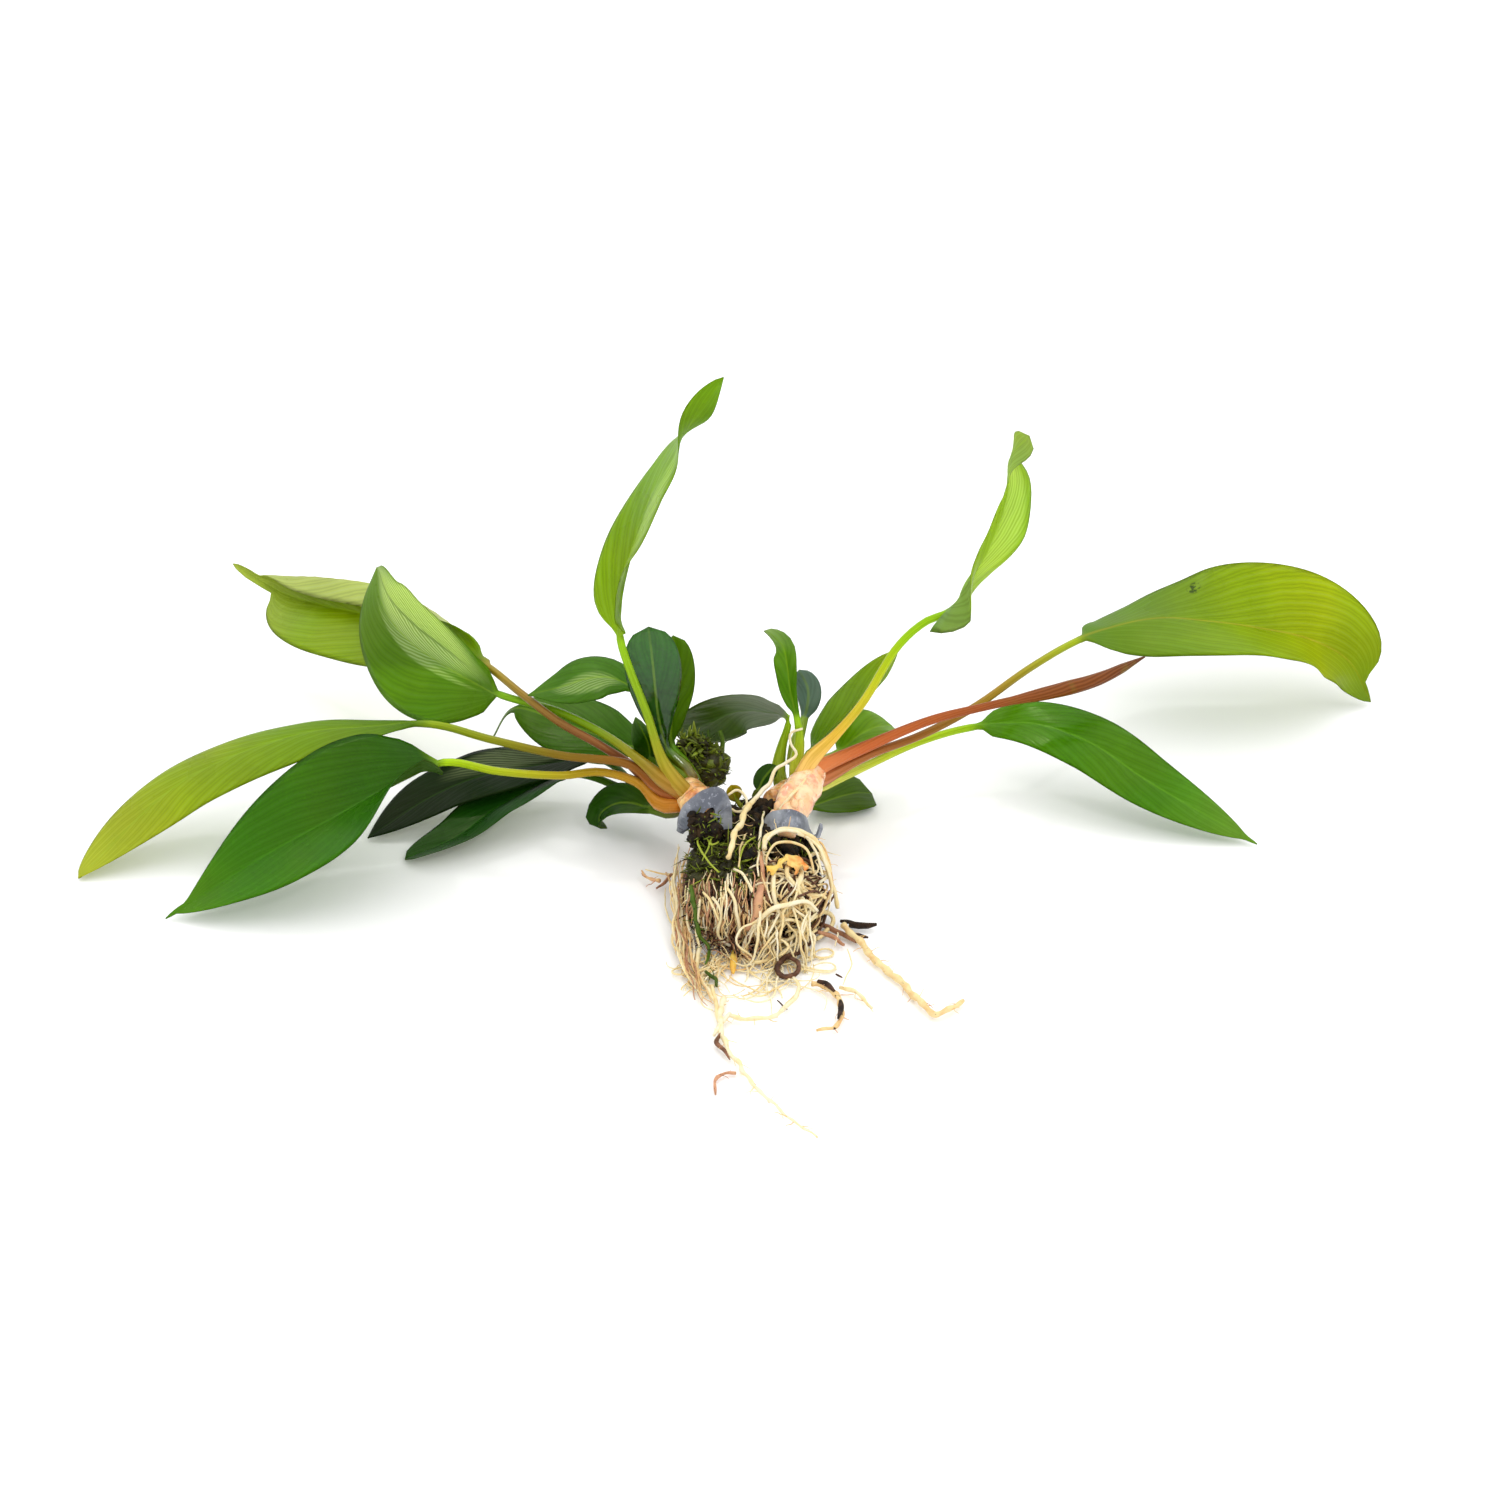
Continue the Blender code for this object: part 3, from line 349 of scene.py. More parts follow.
# Pale shade of the painted sheen, highlights painted into a leaf's colour; then brown spots and dark
# scars.
PAINTED_SHEEN_SHADE = (206, 224, 160)
SPOT_SHADE = (95, 80, 20)
SCAR_SHADE = (45, 70, 15)

# The furled leaf: its middle line, its radii and its shades from foot to tip.
FURLED = [(17, 33, 30), (21, 37, 31), (39, 46, 35), (60, 56, 39), (79, 62, 41), (106, 74, 41),
          (120, 82, 41), (137, 96, 42)]
FURLED_RADII = (3.4, 2.4, 2.1, 1.8, 1.6, 1.5, 1.4, 1.5, 2.3, 2.6, 2.3, 1.7, 0.3)
FURLED_SHADES = [(225, 138, 82), (188, 94, 46), (164, 82, 34), (140, 70, 26), (112, 60, 18),
                 (104, 56, 16), (72, 38, 12)]

# Crowns and rhizomes: points, radii, slot.
CROWNS = {
    "crown_left": ([(-17, 5, 27), (-18, 11, 29), (-20, 18, 30), (-24, 24, 30), (-28, 25, 31)],
                   (2.4, 4.6, 5.8, 5.4, 3.2), "crown_brown"),
    "crown_right": ([(10, 3, 25), (11, 9, 27), (13, 17, 28), (17, 28, 30), (20, 35, 31)],
                    (2.8, 4.4, 5.8, 6.2, 4.2), "crown_peach"),
    "rhizome_left": ([(-14, 27, 24), (-21, 33, 22), (-28, 38, 18)], (4.2, 4.4, 3.2),
                     "crown_brown"),
    "rhizome_right": ([(6, 28, 24), (11, 36, 22), (15, 42, 18)], (4.2, 4.4, 3.4),
                      "crown_brown"),
}

# Roots that are solids of their own: points, radii, tint.
ROOTS = {
    "root_cream": ([(-2, 13, 31), (-4, 6, 31), (-7, -6, 30), (-9, -16, 28)],
                   (1.3, 1.2, 1.2, 0.9), 0.14),
    "root_loop": ([(3, -10, 28), (3, -5, 29), (5, -3, 30), (12, -2, 31), (17, -4, 30),
                   (21, -6, 26), (24, -10, 20), (26, -12, 13), (27, -13, 7)],
                  (0.9, 1.0, 1.0, 0.8), 0.12),
    "root_long_right": ([(29, -17, 3), (40, -38, 2), (48, -51, 2), (57, -67, 2), (61, -65, 2),
                         (66, -59, 2)], (1.3, 1.4, 1.4, 0.9), 0.22),
    "root_fork": ([(18, -50, 2), (21, -50, 2), (25, -55, 2), (27, -65, 2), (25, -74, 2),
                   (19, -77, 2)], (1.2, 1.2, 1.0, 0.6), 0.28),
    "root_fork_branch": ([(27, -52, 2), (32, -55, 2), (37, -64, 2)], (0.9, 0.8, 0.5), 0.1),
    "root_arc": ([(-8, -68, 2), (-3, -70, 2), (5, -69, 2), (9, -64, 2)], (0.9, 0.9, 0.8), 0.08),
    "root_bottom": ([(-10, -58, 2), (-11, -76, 2), (-9, -85, 2), (-3, -100, 2), (3, -112, 2),
                     (18, -131, 1)], (1.2, 1.0, 0.7, 0.4), 0.06),
    "root_hook": ([(-6, -98, 1), (-9, -98, 1), (-12, -101, 1), (-12, -109, 1)],
                  (0.6, 0.7, 0.4), 0.5),
    "root_whisker": ([(-32, 4, 7), (-35, 10, 4), (-38, 16, 3)], (0.8, 0.7, 0.4), 0.4),
}
SOILED_ROOTS = ("root_long_right", "root_fork", "root_hook", "root_whisker")
BUNDLE = [(-24, 13, 16), (-26, 3, 12), (-26, -9, 8), (-24, -32, 3), (-20, -52, 3), (-16, -62, 2)]

# Shades that a strand's tint picks, from 0 to 1.
ROOT_SHADES = [(250, 241, 212), (246, 226, 168), (230, 190, 128), (214, 158, 122),
               (160, 112, 82), (88, 58, 42), (34, 24, 18)]
THREAD_SHADES = [(100, 130, 32), (72, 98, 22), (48, 60, 16)]
MOSS_SHADES = [(170, 182, 62), (128, 146, 44), (96, 108, 34), (62, 62, 24), (34, 28, 16)]

# Strands placed one by one: points, radii, tint.
WHISKERS = [
    ([(-37, 19, 2), (-33, 17, 2), (-30, 16, 2), (-27, 13, 4), (-26, 8, 9)], (0.2, 0.4, 0.5), 0.2),
    ([(-30, 17, 2), (-29, 10, 4), (-25, -10, 10)], (0.3, 0.4, 0.4), 0.35),
    ([(-30, 7, 2), (-30, 0, 2), (-29, -11, 2), (-26, -18, 3)], (0.2, 0.25, 0.3), 0.1),
    ([(-28, 13, 4), (-31, 10, 2), (-33, 7, 2)], (0.5, 0.6, 0.3), 0.6),
]
COMBED = [
    ([(-9, -23, 21), (-7, -26, 19), (-6, -28, 15), (-5, -29, 6)], (0.5, 0.6, 0.5), 0.1),
    ([(-14, -25, 19), (-11, -27, 15), (-12, -28, 6), (-7, -29, 2), (-4, -31, 2)],
     (0.5, 0.6, 0.5), 0.06),
    ([(-17, -22, 19), (-14, -26, 17), (-12, -28, 12)], (0.4, 0.5, 0.3), 0.15),
    ([(2, -23, 22), (1, -27, 19), (0, -29, 13), (-3, -29, 9)], (1.1, 1.5, 1.4, 0.8), 0.48),
    ([(-7, -16, 24), (-4, -19, 24), (-1, -24, 21), (1, -26, 19)], (0.5, 0.5, 0.4), 0.1),
    ([(-1, 11, 25), (-4, 0, 26), (-5, -8, 26), (-5, -16, 25)], (0.4, 0.4, 0.3), 0.2),
    ([(-18, -23, 17), (-19, -27, 8), (-18, -30, 3)], (0.5, 0.6, 0.4), 0.1),
]
TANGLED = [
    ([(3, 19, 27), (2, 3, 28), (1, -11, 26), (1, -20, 24)], (0.4, 0.5, 0.3), 0.06),
    ([(3, -14, 22), (3, -8, 27), (6, -4, 30), (11, -3, 31), (16, -4, 30), (20, -8, 26),
      (22, -13, 20)], (0.4, 0.6, 0.5, 0.4), 0.03),
    ([(4, -17, 22), (4, -12, 26), (7, -8, 29), (12, -7, 29), (17, -9, 27), (19, -14, 21)],
     (0.3, 0.5, 0.4), 0.2),
    ([(14, -4, 30), (18, -5, 29), (22, -9, 25), (25, -13, 16), (24, -17, 8)],
     (0.4, 0.6, 0.5, 0.3), 0.06),
    ([(18, -6, 28), (21, -4, 27), (24, -8, 23), (25, -13, 15), (22, -18, 10)],
     (0.3, 0.5, 0.4), 0.3),
    ([(2, -9, 26), (2, -14, 25), (3, -20, 22), (4, -25, 17), (5, -28, 9)],
     (0.5, 0.8, 0.7, 0.5), 0.45),
    ([(6, -19, 24), (6, -24, 21), (7, -27, 17), (9, -28, 12)], (0.7, 0.8, 0.6), 0.08),
    ([(15, -17, 23), (14, -22, 20), (16, -24, 17), (19, -24, 13)], (0.7, 0.8, 0.6), 0.1),
    ([(-4, -33, 2), (-3, -30, 5), (1, -30, 13), (5, -29, 17), (11, -28, 18), (17, -25, 17),
      (20, -24, 13)], (0.7, 0.8, 0.8, 0.6), 0.03),
    ([(-3, -33, 2), (-2, -29, 6), (3, -29, 8), (5, -29, 4), (4, -36, 2), (0, -38, 2),
      (-3, -34, 2)], (0.6, 0.7, 0.6), 0.2),
    ([(19, -24, 4), (16, -32, 4), (12, -35, 3), (9, -37, 3), (7, -42, 3), (9, -46, 2),
      (13, -45, 3), (14, -41, 4), (11, -38, 4)], (0.9, 1.0, 0.9, 0.7), 0.82),
    ([(20, -23, 5), (16, -29, 6), (11, -33, 5), (8, -36, 4)], (0.5, 0.5, 0.4), 0.1),
    ([(8, -29, 12), (11, -29, 13), (16, -27, 9), (17, -26, 5), (16, -30, 2)],
     (0.5, 0.6, 0.5), 0.1),
    ([(10, -29, 8), (13, -29, 9), (16, -28, 5), (17, -31, 2)], (0.4, 0.5, 0.4), 0.15),
    ([(7, -29, 4), (11, -30, 6), (16, -28, 10), (20, -24, 12)], (0.5, 0.6, 0.4), 0.06),
    ([(17, -26, 10), (20, -22, 10), (24, -14, 6), (26, -13, 3), (23, -20, 2), (20, -24, 2)],
     (0.7, 0.8, 0.7), 0.15),
    ([(18, -8, 24), (21, -3, 22), (24, -9, 18), (21, -15, 18)], (0.6, 0.7, 0.5), 0.05),
    ([(16, 38, 46), (12, 38, 44), (12, 36, 41), (14, 34, 39), (13, 32, 38), (10, 30, 37),
      (7, 28, 36), (5, 24, 33), (2, 20, 32), (-1, 15, 31), (-4, 12, 30)],
     (0.4, 0.5, 0.6, 0.8, 0.7), 0.02),
    ([(-9, 16, 33), (-6, 18, 34), (-3, 17, 32), (-3, 14, 30)], (0.4, 0.5, 0.4), 0.05),
    ([(-8, 14, 29), (-6, 12, 29), (-3, 12, 30), (0, 15, 31)], (0.4, 0.5, 0.3), 0.1),
    ([(31, 52, 26), (27, 47, 25), (26, 44, 25), (22, 42, 24)], (0.4, 0.5, 0.4), 0.1),
    ([(8, 11, 30), (12, 15, 34), (15, 20, 34), (18, 25, 35)], (0.6, 0.6, 0.4), 0.12),
]
ON_TABLE = [
    ([(27, -16, 2), (27, -21, 2), (26, -28, 2)], (0.3, 0.3, 0.2), 0.05),
    ([(30, -30, 2), (31, -39, 2), (28, -51, 2)], (0.2, 0.25, 0.2), 0.1),
    ([(-13, -79, 2), (-11, -73, 2), (-8, -67, 2)], (0.5, 0.9, 0.6), 0.0),
    ([(-14, -51, 2), (-13, -59, 2), (-12, -67, 2), (-11, -73, 2)], (0.6, 0.7, 0.6), 0.16),
    ([(-18, -30, 3), (-19, -42, 2), (-15, -54, 2), (-13, -60, 2)], (0.8, 0.8, 0.5), 0.1),
    ([(-21, -34, 2), (-20, -47, 2), (-17, -58, 2)], (0.6, 0.7, 0.4), 0.05),
    ([(9, -64, 2), (13, -57, 2), (14, -50, 2), (12, -46, 2)], (0.8, 0.7, 0.5), 0.05),
]
LOOSE_BITS = [
    ([(20, -15, 3), (25, -18, 2), (29, -21, 2), (33, -26, 2)], (0.7, 0.9, 0.8, 0.5), 0.7),
    ([(20, -21, 3), (25, -22, 2), (29, -27, 2)], (0.6, 0.8, 0.5), 0.55),
    ([(31, -21, 2), (34, -22, 2), (37, -23, 2)], (0.7, 1.0, 0.3), 0.95),
    ([(28, -13, 2), (33, -14, 2)], (0.5, 0.8, 0.2), 0.97),
    ([(20, -50, 3), (23, -52, 3), (25, -56, 3)], (0.6, 1.0, 0.9, 0.4), 0.9),
    ([(27, -61, 3), (27, -66, 3), (26, -71, 3)], (0.5, 1.1, 0.8, 0.3), 0.95),
    ([(26, -43, 1), (28, -45, 1)], (0.3, 0.4, 0.2), 0.8),
    ([(7, -58, 1), (10, -63, 1)], (0.2, 0.3, 0.2), 0.8),
    ([(-11, -78, 2), (-12, -83, 2), (-10, -87, 2), (-8, -92, 2)], (0.4, 0.8, 0.6, 0.2), 0.72),
]
GREEN_THREADS = [
    ([(-21, -18, 19), (-20, -24, 15), (-19, -27, 9), (-17, -29, 5), (-15, -31, 3),
      (-15, -34, 2), (-16, -39, 2)], (0.6, 0.9, 0.6, 0.85, 0.5, 0.6, 0.3), 0.4),
    ([(-16, -43, 2), (-13, -48, 2), (-12, -52, 2)], (0.5, 0.7, 0.4), 0.6),
    ([(-12, 49, 39), (-11, 47, 35), (-12, 45, 31)], (0.8, 0.8, 0.9), 0.2),
    ([(-16, 49, 39), (-16, 47, 35), (-15, 45, 31)], (0.5, 0.6, 0.7), 0.5),
]
GRASS = [
    ([(-20, 5, 25), (-18, -6, 26), (-15, -14, 25), (-12, -18, 24)], (0.3, 0.4, 0.3), 0.0),
    ([(-12, -4, 27), (-14, -6, 27), (-16, 0, 26)], (0.3, 0.4, 0.2), 0.05),
    ([(0, -1, 27), (-3, -5, 27), (-5, -11, 26), (-5, -17, 25)], (0.3, 0.4, 0.3), 0.0),
    ([(-14, 2, 26), (-15, -5, 27), (-17, -12, 25)], (0.3, 0.4, 0.2), 0.1),
]
ORANGE_TIPS = [([(-7, -31, 2), (-7, -37, 2), (-7, -44, 2)], (0.7, 1.3, 1.1, 0.4), 0.2)]
SHEATH_UPPER = [(3, -18, 26), (6, -17, 26), (9, -13, 27), (13, -11, 26), (17, -15, 25)]
SHEATH_LOWER = [(4, -21, 24), (6, -21, 24), (9, -18, 25), (14, -18, 24), (17, -18, 24)]
SHEATH_ROWS = 9
CROWN_NODULES = [
    ([(8, 12, 28), (8, 14, 30), (8, 16, 31)], (0.8, 1.9, 1.8, 0.8)),
    ([(9, 9, 27), (10, 16, 30), (12, 22, 32), (14, 26, 32)], (1.6, 3.2, 3.4, 1.6)),
    ([(6, 9, 26), (6, 11, 28), (6, 13, 29)], (0.6, 1.6, 1.5, 0.6)),
    ([(12, 10, 30), (13, 12, 32), (13, 14, 33)], (0.6, 1.5, 1.4, 0.6)),
    ([(14, 11, 29), (15, 13, 31), (15, 15, 32)], (0.6, 1.3, 1.3, 0.6)),
]


# ---------------------------------------------------------------- curves
def between(a, b, t, start, end):
    return ((end - t) * a + (t - start) * b) / (end - start)


def smooth_curve(points, steps=20):
    """Closely spaced points of a centripetal Catmull-Rom curve through the given ones."""
    points = np.asarray(points, float)
    points = np.vstack([2 * points[0] - points[1], points, 2 * points[-1] - points[-2]])
    spans = np.linalg.norm(np.diff(points, axis=0), axis=1) ** 0.5
    knots = np.concatenate([[0], np.cumsum(spans)])
    curve = []
    for i in range(1, len(points) - 2):
        p = points[i - 1:i + 3]
        k = knots[i - 1:i + 3]
        t = np.linspace(k[1], k[2], steps, endpoint=i == len(points) - 3)[:, None]
        first = [between(p[j], p[j + 1], t, k[j], k[j + 1]) for j in range(3)]
        second = [between(first[j], first[j + 1], t, k[j], k[j + 2]) for j in range(2)]
        curve.append(between(second[0], second[1], t, k[1], k[2]))
    return np.vstack(curve)


def lengths_along(curve):
    return np.concatenate([[0], np.cumsum(np.linalg.norm(np.diff(curve, axis=0), axis=1))])


def point_at(curve, lengths, distance):
    return np.stack([np.interp(distance, lengths, curve[:, axis]) for axis in range(3)], -1)


def unit(vector):
    return vector / np.linalg.norm(vector)


def read_along(values, t):
    """The value at t of a list spread evenly from 0 to 1, on a smooth curve through them."""
    if len(values) == 1:
        return values[0]
    place = t * (len(values) - 1)
    i = min(int(place), len(values) - 2)
    s = place - i
    a, b = values[i], values[i + 1]
    leaving = (b - values[max(i - 1, 0)]) / 2
    arriving = (values[min(i + 2, len(values) - 1)] - a) / 2
    return (a * (1 - s) ** 2 * (1 + 2 * s) + b * s ** 2 * (3 - 2 * s)
            + leaving * s * (1 - s) ** 2 - arriving * s ** 2 * (1 - s))


def turned(vector, axis, degrees):
    angle = math.radians(degrees)
    return (vector * math.cos(angle) + np.cross(axis, vector) * math.sin(angle)
            + axis * (axis @ vector) * (1 - math.cos(angle)))


# ---------------------------------------------------------------- meshes
def placed(name, data):
    """A new object in the scene."""
    item = bpy.data.objects.new(name, data)
    bpy.context.scene.collection.objects.link(item)
    return item


def mesh_object(name, points, faces, skin=None, traits=None):
    """A smooth closed mesh from points in mm, with one or two pairs of values at each corner."""
    mesh = bpy.data.meshes.new(name)
    mesh.from_pydata(np.asarray(points) * MM, [], faces)
    for layer, values in (("skin", skin), ("traits", traits)):
        if values is not None:
            corners = mesh.uv_layers.new(name=layer)
            corners.data.foreach_set("uv", np.asarray(values, np.float32).ravel())
    solid = bmesh.new()
    solid.from_mesh(mesh)
    if solid.calc_volume(signed=True) < 0:
        mesh.flip_normals()
    solid.free()
    mesh.shade_smooth()
    mesh.update()
    return placed(name, mesh)


def covered(item, material):
    item.data.materials.clear()
    item.data.materials.append(material)
    return item


def dress(item, material, slot, *nodes):
    """Gives a piece its material, hangs it under the root body, and hides the solids it stands for.
    """
    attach(covered(item, material), "root")
    if nodes:
        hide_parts(*nodes)


# ---------------------------------------------------------------- leaves
def places_across():
    """Places across a blade, -1 at the left rim and 1 at the right."""
    even = np.linspace(-1, 1, ACROSS)
    return np.sign(even) * np.abs(even) ** CROWDING


def of_half(value, right):
    """The value for one half of a blade, where the (left, right) halves differ."""
    return value[int(right)] if isinstance(value, tuple) else value


def blade_half_width(leaf, t, stalk_radius, right):
    """One half's width at t along the midrib, from base to tip."""
    base_power, tip_power = [of_half(power, right) for power in leaf["outline"]]
    u = min(1.0, t / of_half(leaf["reach"], right))
    widest = base_power / (base_power + tip_power)
    full = (u / widest) ** base_power * ((1 - u) / (1 - widest)) ** tip_power
    tail = leaf["tail"] * min(1.0, (1 - t) / 0.05) ** 0.5
    neck = stalk_radius * 1.05 * max(0.0, 1 - t / 0.1)
    opening = 1.0 if leaf["lobe"] else min(1.0, t / BASE_EASE)
    full *= opening ** 2 * (3 - 2 * opening)
    return max(of_half(leaf["width"], right) / 2 * full, tail, neck, 0.15)


def half_profile(fold, curl, bend, places):
    """Where the places across a half-blade of width 1 lie, and the slope at each."""
    edges = np.arange(PROFILE_STEPS + 1) / PROFILE_STEPS
    s = (np.arange(PROFILE_STEPS) + 0.5) / PROFILE_STEPS
    share = np.clip((s - bend[0]) / (bend[1] - bend[0]), 0, 1)
    slope = np.radians(fold + curl * share ** 2 * (3 - 2 * share))
    across = np.concatenate([[0], np.cumsum(np.cos(slope))]) / PROFILE_STEPS
    rise = np.concatenate([[0], np.cumsum(np.sin(slope))]) / PROFILE_STEPS
    return [np.interp(places, at, values)[:, None]
            for at, values in ((edges, across), (edges, rise), (s, slope))]


def blade_ring(leaf, look, t, middle, along, right, up, stalk_radius, length):
    """A section of the blade: its upper side from left to right, then its lower side back, and
    each point's half-width."""
    flat = min(1.0, t / NECK)
    setback = leaf["lobe"] * max(0.0, 1 - t / LOBE_SHARE)
    q = places_across()
    off = np.abs(q)
    points = np.zeros((ACROSS, 3))
    outward = np.zeros((ACROSS, 3))
    widths = np.zeros(ACROSS)
    for is_right, side in ((False, -1), (True, 1)):
        pick = (q >= 0) == is_right
        half_width = blade_half_width(leaf, t, stalk_radius, is_right)
        fold = read_along(of_half(leaf["fold"], is_right), t) * flat
        curl = read_along(of_half(leaf["curl"], is_right), t) * flat
        across, rise, slope = half_profile(fold, curl, leaf["bend"], off[pick])
        points[pick] = half_width * (side * across * right + rise * up)
        outward[pick] = -np.sin(slope) * side * right + np.cos(slope) * up
        widths[pick] = half_width
    outward[ACROSS // 2] = up
    points += middle - along * (setback * q * q)[:, None]
    sweep = WAVE_SWEEP * np.max(leaf["width"]) / 2 * off ** SWEEP_POWER
    wave = np.cos(FULL_TURN * (t * length - sweep) / WAVE_SPACING)
    lift = WAVE_HEIGHT * wave * np.clip(widths / 10, 0, 1) * np.sin(math.pi * off) ** 0.7
    lift += look["ripple"] * off ** 3 * math.sin(t * length / RIPPLE_PITCH + look["seed"])
    lift += 0.35 * look["ripple"] * off ** 2 * math.sin(t * length / FINE_RIPPLE_PITCH)
    if look["crease"]:
        depth = CREASE_DEPTH * math.sin(math.pi * t) ** 0.5
        lift -= depth * np.exp(-((q - look["crease"]) / CREASE_WIDTH) ** 2)
    points += outward * (lift * flat * math.sin(math.pi * min(1, t * 1.02)) ** 0.4)[:, None]
    thick = (1 - flat) * stalk_radius * np.sqrt(1 - q * q)
    thick += flat * BLADE_THICKNESS / 2 * (1 - off ** 6)
    from_rib = off * widths
    rib_radius = leaf["radius"][1] * (1 - t) ** TAPER
    groove = GROOVE_DEPTH * flat * np.exp(-(from_rib / 0.8) ** 2) * min(1, rib_radius)
    ridge = rib_radius * 0.8 * flat * np.exp(-(from_rib / (0.5 + rib_radius)) ** 2)
    upper = points + outward * (thick - groove)[:, None]
    lower = points - outward * np.maximum(thick, ridge)[:, None]
    lower[0] = upper[0]
    lower[-1] = upper[-1]
    return np.vstack([upper, lower[-2:0:-1]]), np.concatenate([widths, widths[-2:0:-1]])


def stalk_ring(middle, right, up, radius):
    upper = np.linspace(math.pi, 0, ACROSS)
    lower = -np.linspace(0, math.pi, ACROSS)[1:-1]
    angles = np.concatenate([upper, lower])[:, None]
    return middle + radius * (np.cos(angles) * right + np.sin(angles) * up)


def leaf_rings(leaf, look):
    """Rings of a leaf, with each ring's place along it (-1 foot, 0 blade, 1 tip) and widths."""
    sunk = np.linalg.norm(np.subtract(look["into"], leaf["stalk"][0]))
    curve = smooth_curve([look["into"]] + leaf["stalk"] + leaf["rib"][1:])
    lengths = lengths_along(curve)
    nearest = np.argmin(np.linalg.norm(curve - np.array(leaf["rib"][0]), axis=1))
    stalk_length = lengths[nearest]
    rib_length = lengths[-1] - stalk_length
    stalk_count = max(5, round(stalk_length / STALK_STEP))
    blade_count = max(14, round(rib_length / BLADE_STEP))
    distances = list(np.linspace(0, stalk_length, stalk_count + 1))
    distances += list(np.linspace(stalk_length, lengths[-1], blade_count + 1)[1:])
    step = 0.02 * (lengths[-1] - sunk)
    faces = np.array(leaf["faces"], float)
    foot, neck = leaf["radius"]
    rings = []
    for distance in distances:
        along = unit(point_at(curve, lengths, distance + step)
                     - point_at(curve, lengths, distance - step))
        t = max(0.0, (distance - stalk_length) / rib_length)
        up = turned(unit(faces - (faces @ along) * along), along, read_along(leaf["turn"], t))
        right = np.cross(along, up)
        middle = point_at(curve, lengths, distance)
        radius = foot + (neck - foot) * min(1.0, distance / stalk_length)
        radius += look["flare"] * math.exp(-(max(0, distance - sunk) / 9) ** 1.5)
        if t > 0:
            ring, half = blade_ring(leaf, look, t, middle, along, right, up, radius, rib_length)
            rings.append((ring, t, half))
        else:
            ring = stalk_ring(middle, right, up, radius)
            rings.append((ring, distance / stalk_length - 1, np.full(len(ring), radius)))
    return rings


def leaf_object(name, leaf, look):
    """A leaf's mesh. skin: place across and along; traits: 1 on the underside, half-width."""
    rings, places, widths = zip(*leaf_rings(leaf, look))
    count = len(rings[0])
    across = (places_across() + 1) / 2
    across = np.concatenate([across, across[-2:0:-1]])
    faces = []
    skin = []
    traits = []
    for i in range(len(rings) - 1):
        for j in range(count):
            k = (j + 1) % count
            under = 0.0 if j < ACROSS - 1 else 1.0
            corners = ((i, j), (i, k), (i + 1, k), (i + 1, j))
            faces.append([ring * count + place for ring, place in corners])
            for ring, place in corners:
                skin.append((across[place], places[ring]))
                traits.append((under, widths[ring][place] / WIDTH_UNIT))
    for ring, order in ((0, -1), (len(rings) - 1, 1)):
        faces.append([ring * count + j for j in range(count)][::order])
        skin += [(0.5, places[ring])] * count
        traits += [(0.0, widths[ring][0] / WIDTH_UNIT)] * count
    return mesh_object("fine_" + name, np.vstack(rings), faces, skin, traits)


# ---------------------------------------------------------------- strands
def spread_evenly(values, count):
    return np.interp(np.linspace(0, 1, count), np.linspace(0, 1, len(values)), values)


def tube_points(path, radii, sides, flat):
    """Rings of a tube along a path, turned as little as can be from ring to ring."""
    path = np.asarray(path, float)
    tangents = np.gradient(path, axis=0)
    tangents /= np.linalg.norm(tangents, axis=1)[:, None] + 1e-9
    side = np.cross(tangents[0], (0.31, 0.52, 0.79))
    angles = np.linspace(0, 2 * math.pi, sides, endpoint=False)
    rings = []
    for place, tangent, radius in zip(path, tangents, radii):
        side = unit(side - (side @ tangent) * tangent)
        other = np.cross(tangent, side)
        rings.append(place + radius * (np.cos(angles)[:, None] * side
                                       + flat * np.sin(angles)[:, None] * other))
    return np.vstack(rings)


def strands_object(name, strands, sides=6, flat=1.0):
    """One mesh of many tubes. A strand is (points, radii, tint); skin keeps the place around
    and along it, traits its tint and radius."""
    points = []
    faces = []
    skin = []
    traits = []
    start = 0
    for path, radii, tint in strands:
        count = len(path)
        radii = spread_evenly(radii, count)
        points.append(tube_points(path, radii, sides, flat))
        for i in range(count - 1):
            for j in range(sides):
                k = (j + 1) % sides
                base = start + i * sides
                faces.append((base + j, base + k, base + sides + k, base + sides + j))
                skin += [(j / sides, i / (count - 1)), ((j + 1) / sides, i / (count - 1)),
                         ((j + 1) / sides, (i + 1) / (count - 1)),
                         (j / sides, (i + 1) / (count - 1))]
                traits += [(tint, radii[i])] * 4
        first = range(start, start + sides)
        start += count * sides
        for end in (first[::-1], range(start - sides, start)):
            faces.append(tuple(end))
            skin += [(0.5, 0.0)] * sides
            traits += [(tint, radii[0])] * sides
    return mesh_object(name, np.vstack(points), faces, skin, traits)


def strands_piece(name, strands, sides, material, slot, *nodes, flat=1.0):
    dress(strands_object(name, strands, sides, flat), material, slot, *nodes)


def wiggled(path, amount, pitch, seed):
    """The path with a smooth wander of some mm, none at its start."""
    path = np.array(path, float)
    lengths = lengths_along(path)
    moved = []
    for point, distance in zip(path, lengths):
        at = distance / pitch
        shift = noise.noise_vector((at, seed * 3.7, seed * 1.3))
        moved.append(point + amount * min(1, distance / pitch) * np.array(shift))
    moved = np.array(moved)
    moved[:, 2] = np.maximum(moved[:, 2], LOWEST)
    return moved


def along_curve(points, spacing):
    curve = smooth_curve(points)
    lengths = lengths_along(curve)
    count = max(4, int(lengths[-1] / spacing) + 1)
    return point_at(curve, lengths, np.linspace(0, lengths[-1], count))


def smoothed(path):
    path = path.copy()
    for _ in range(3):
        path[1:-1] = (path[:-2] + 2 * path[1:-1] + path[2:]) / 4
    return path


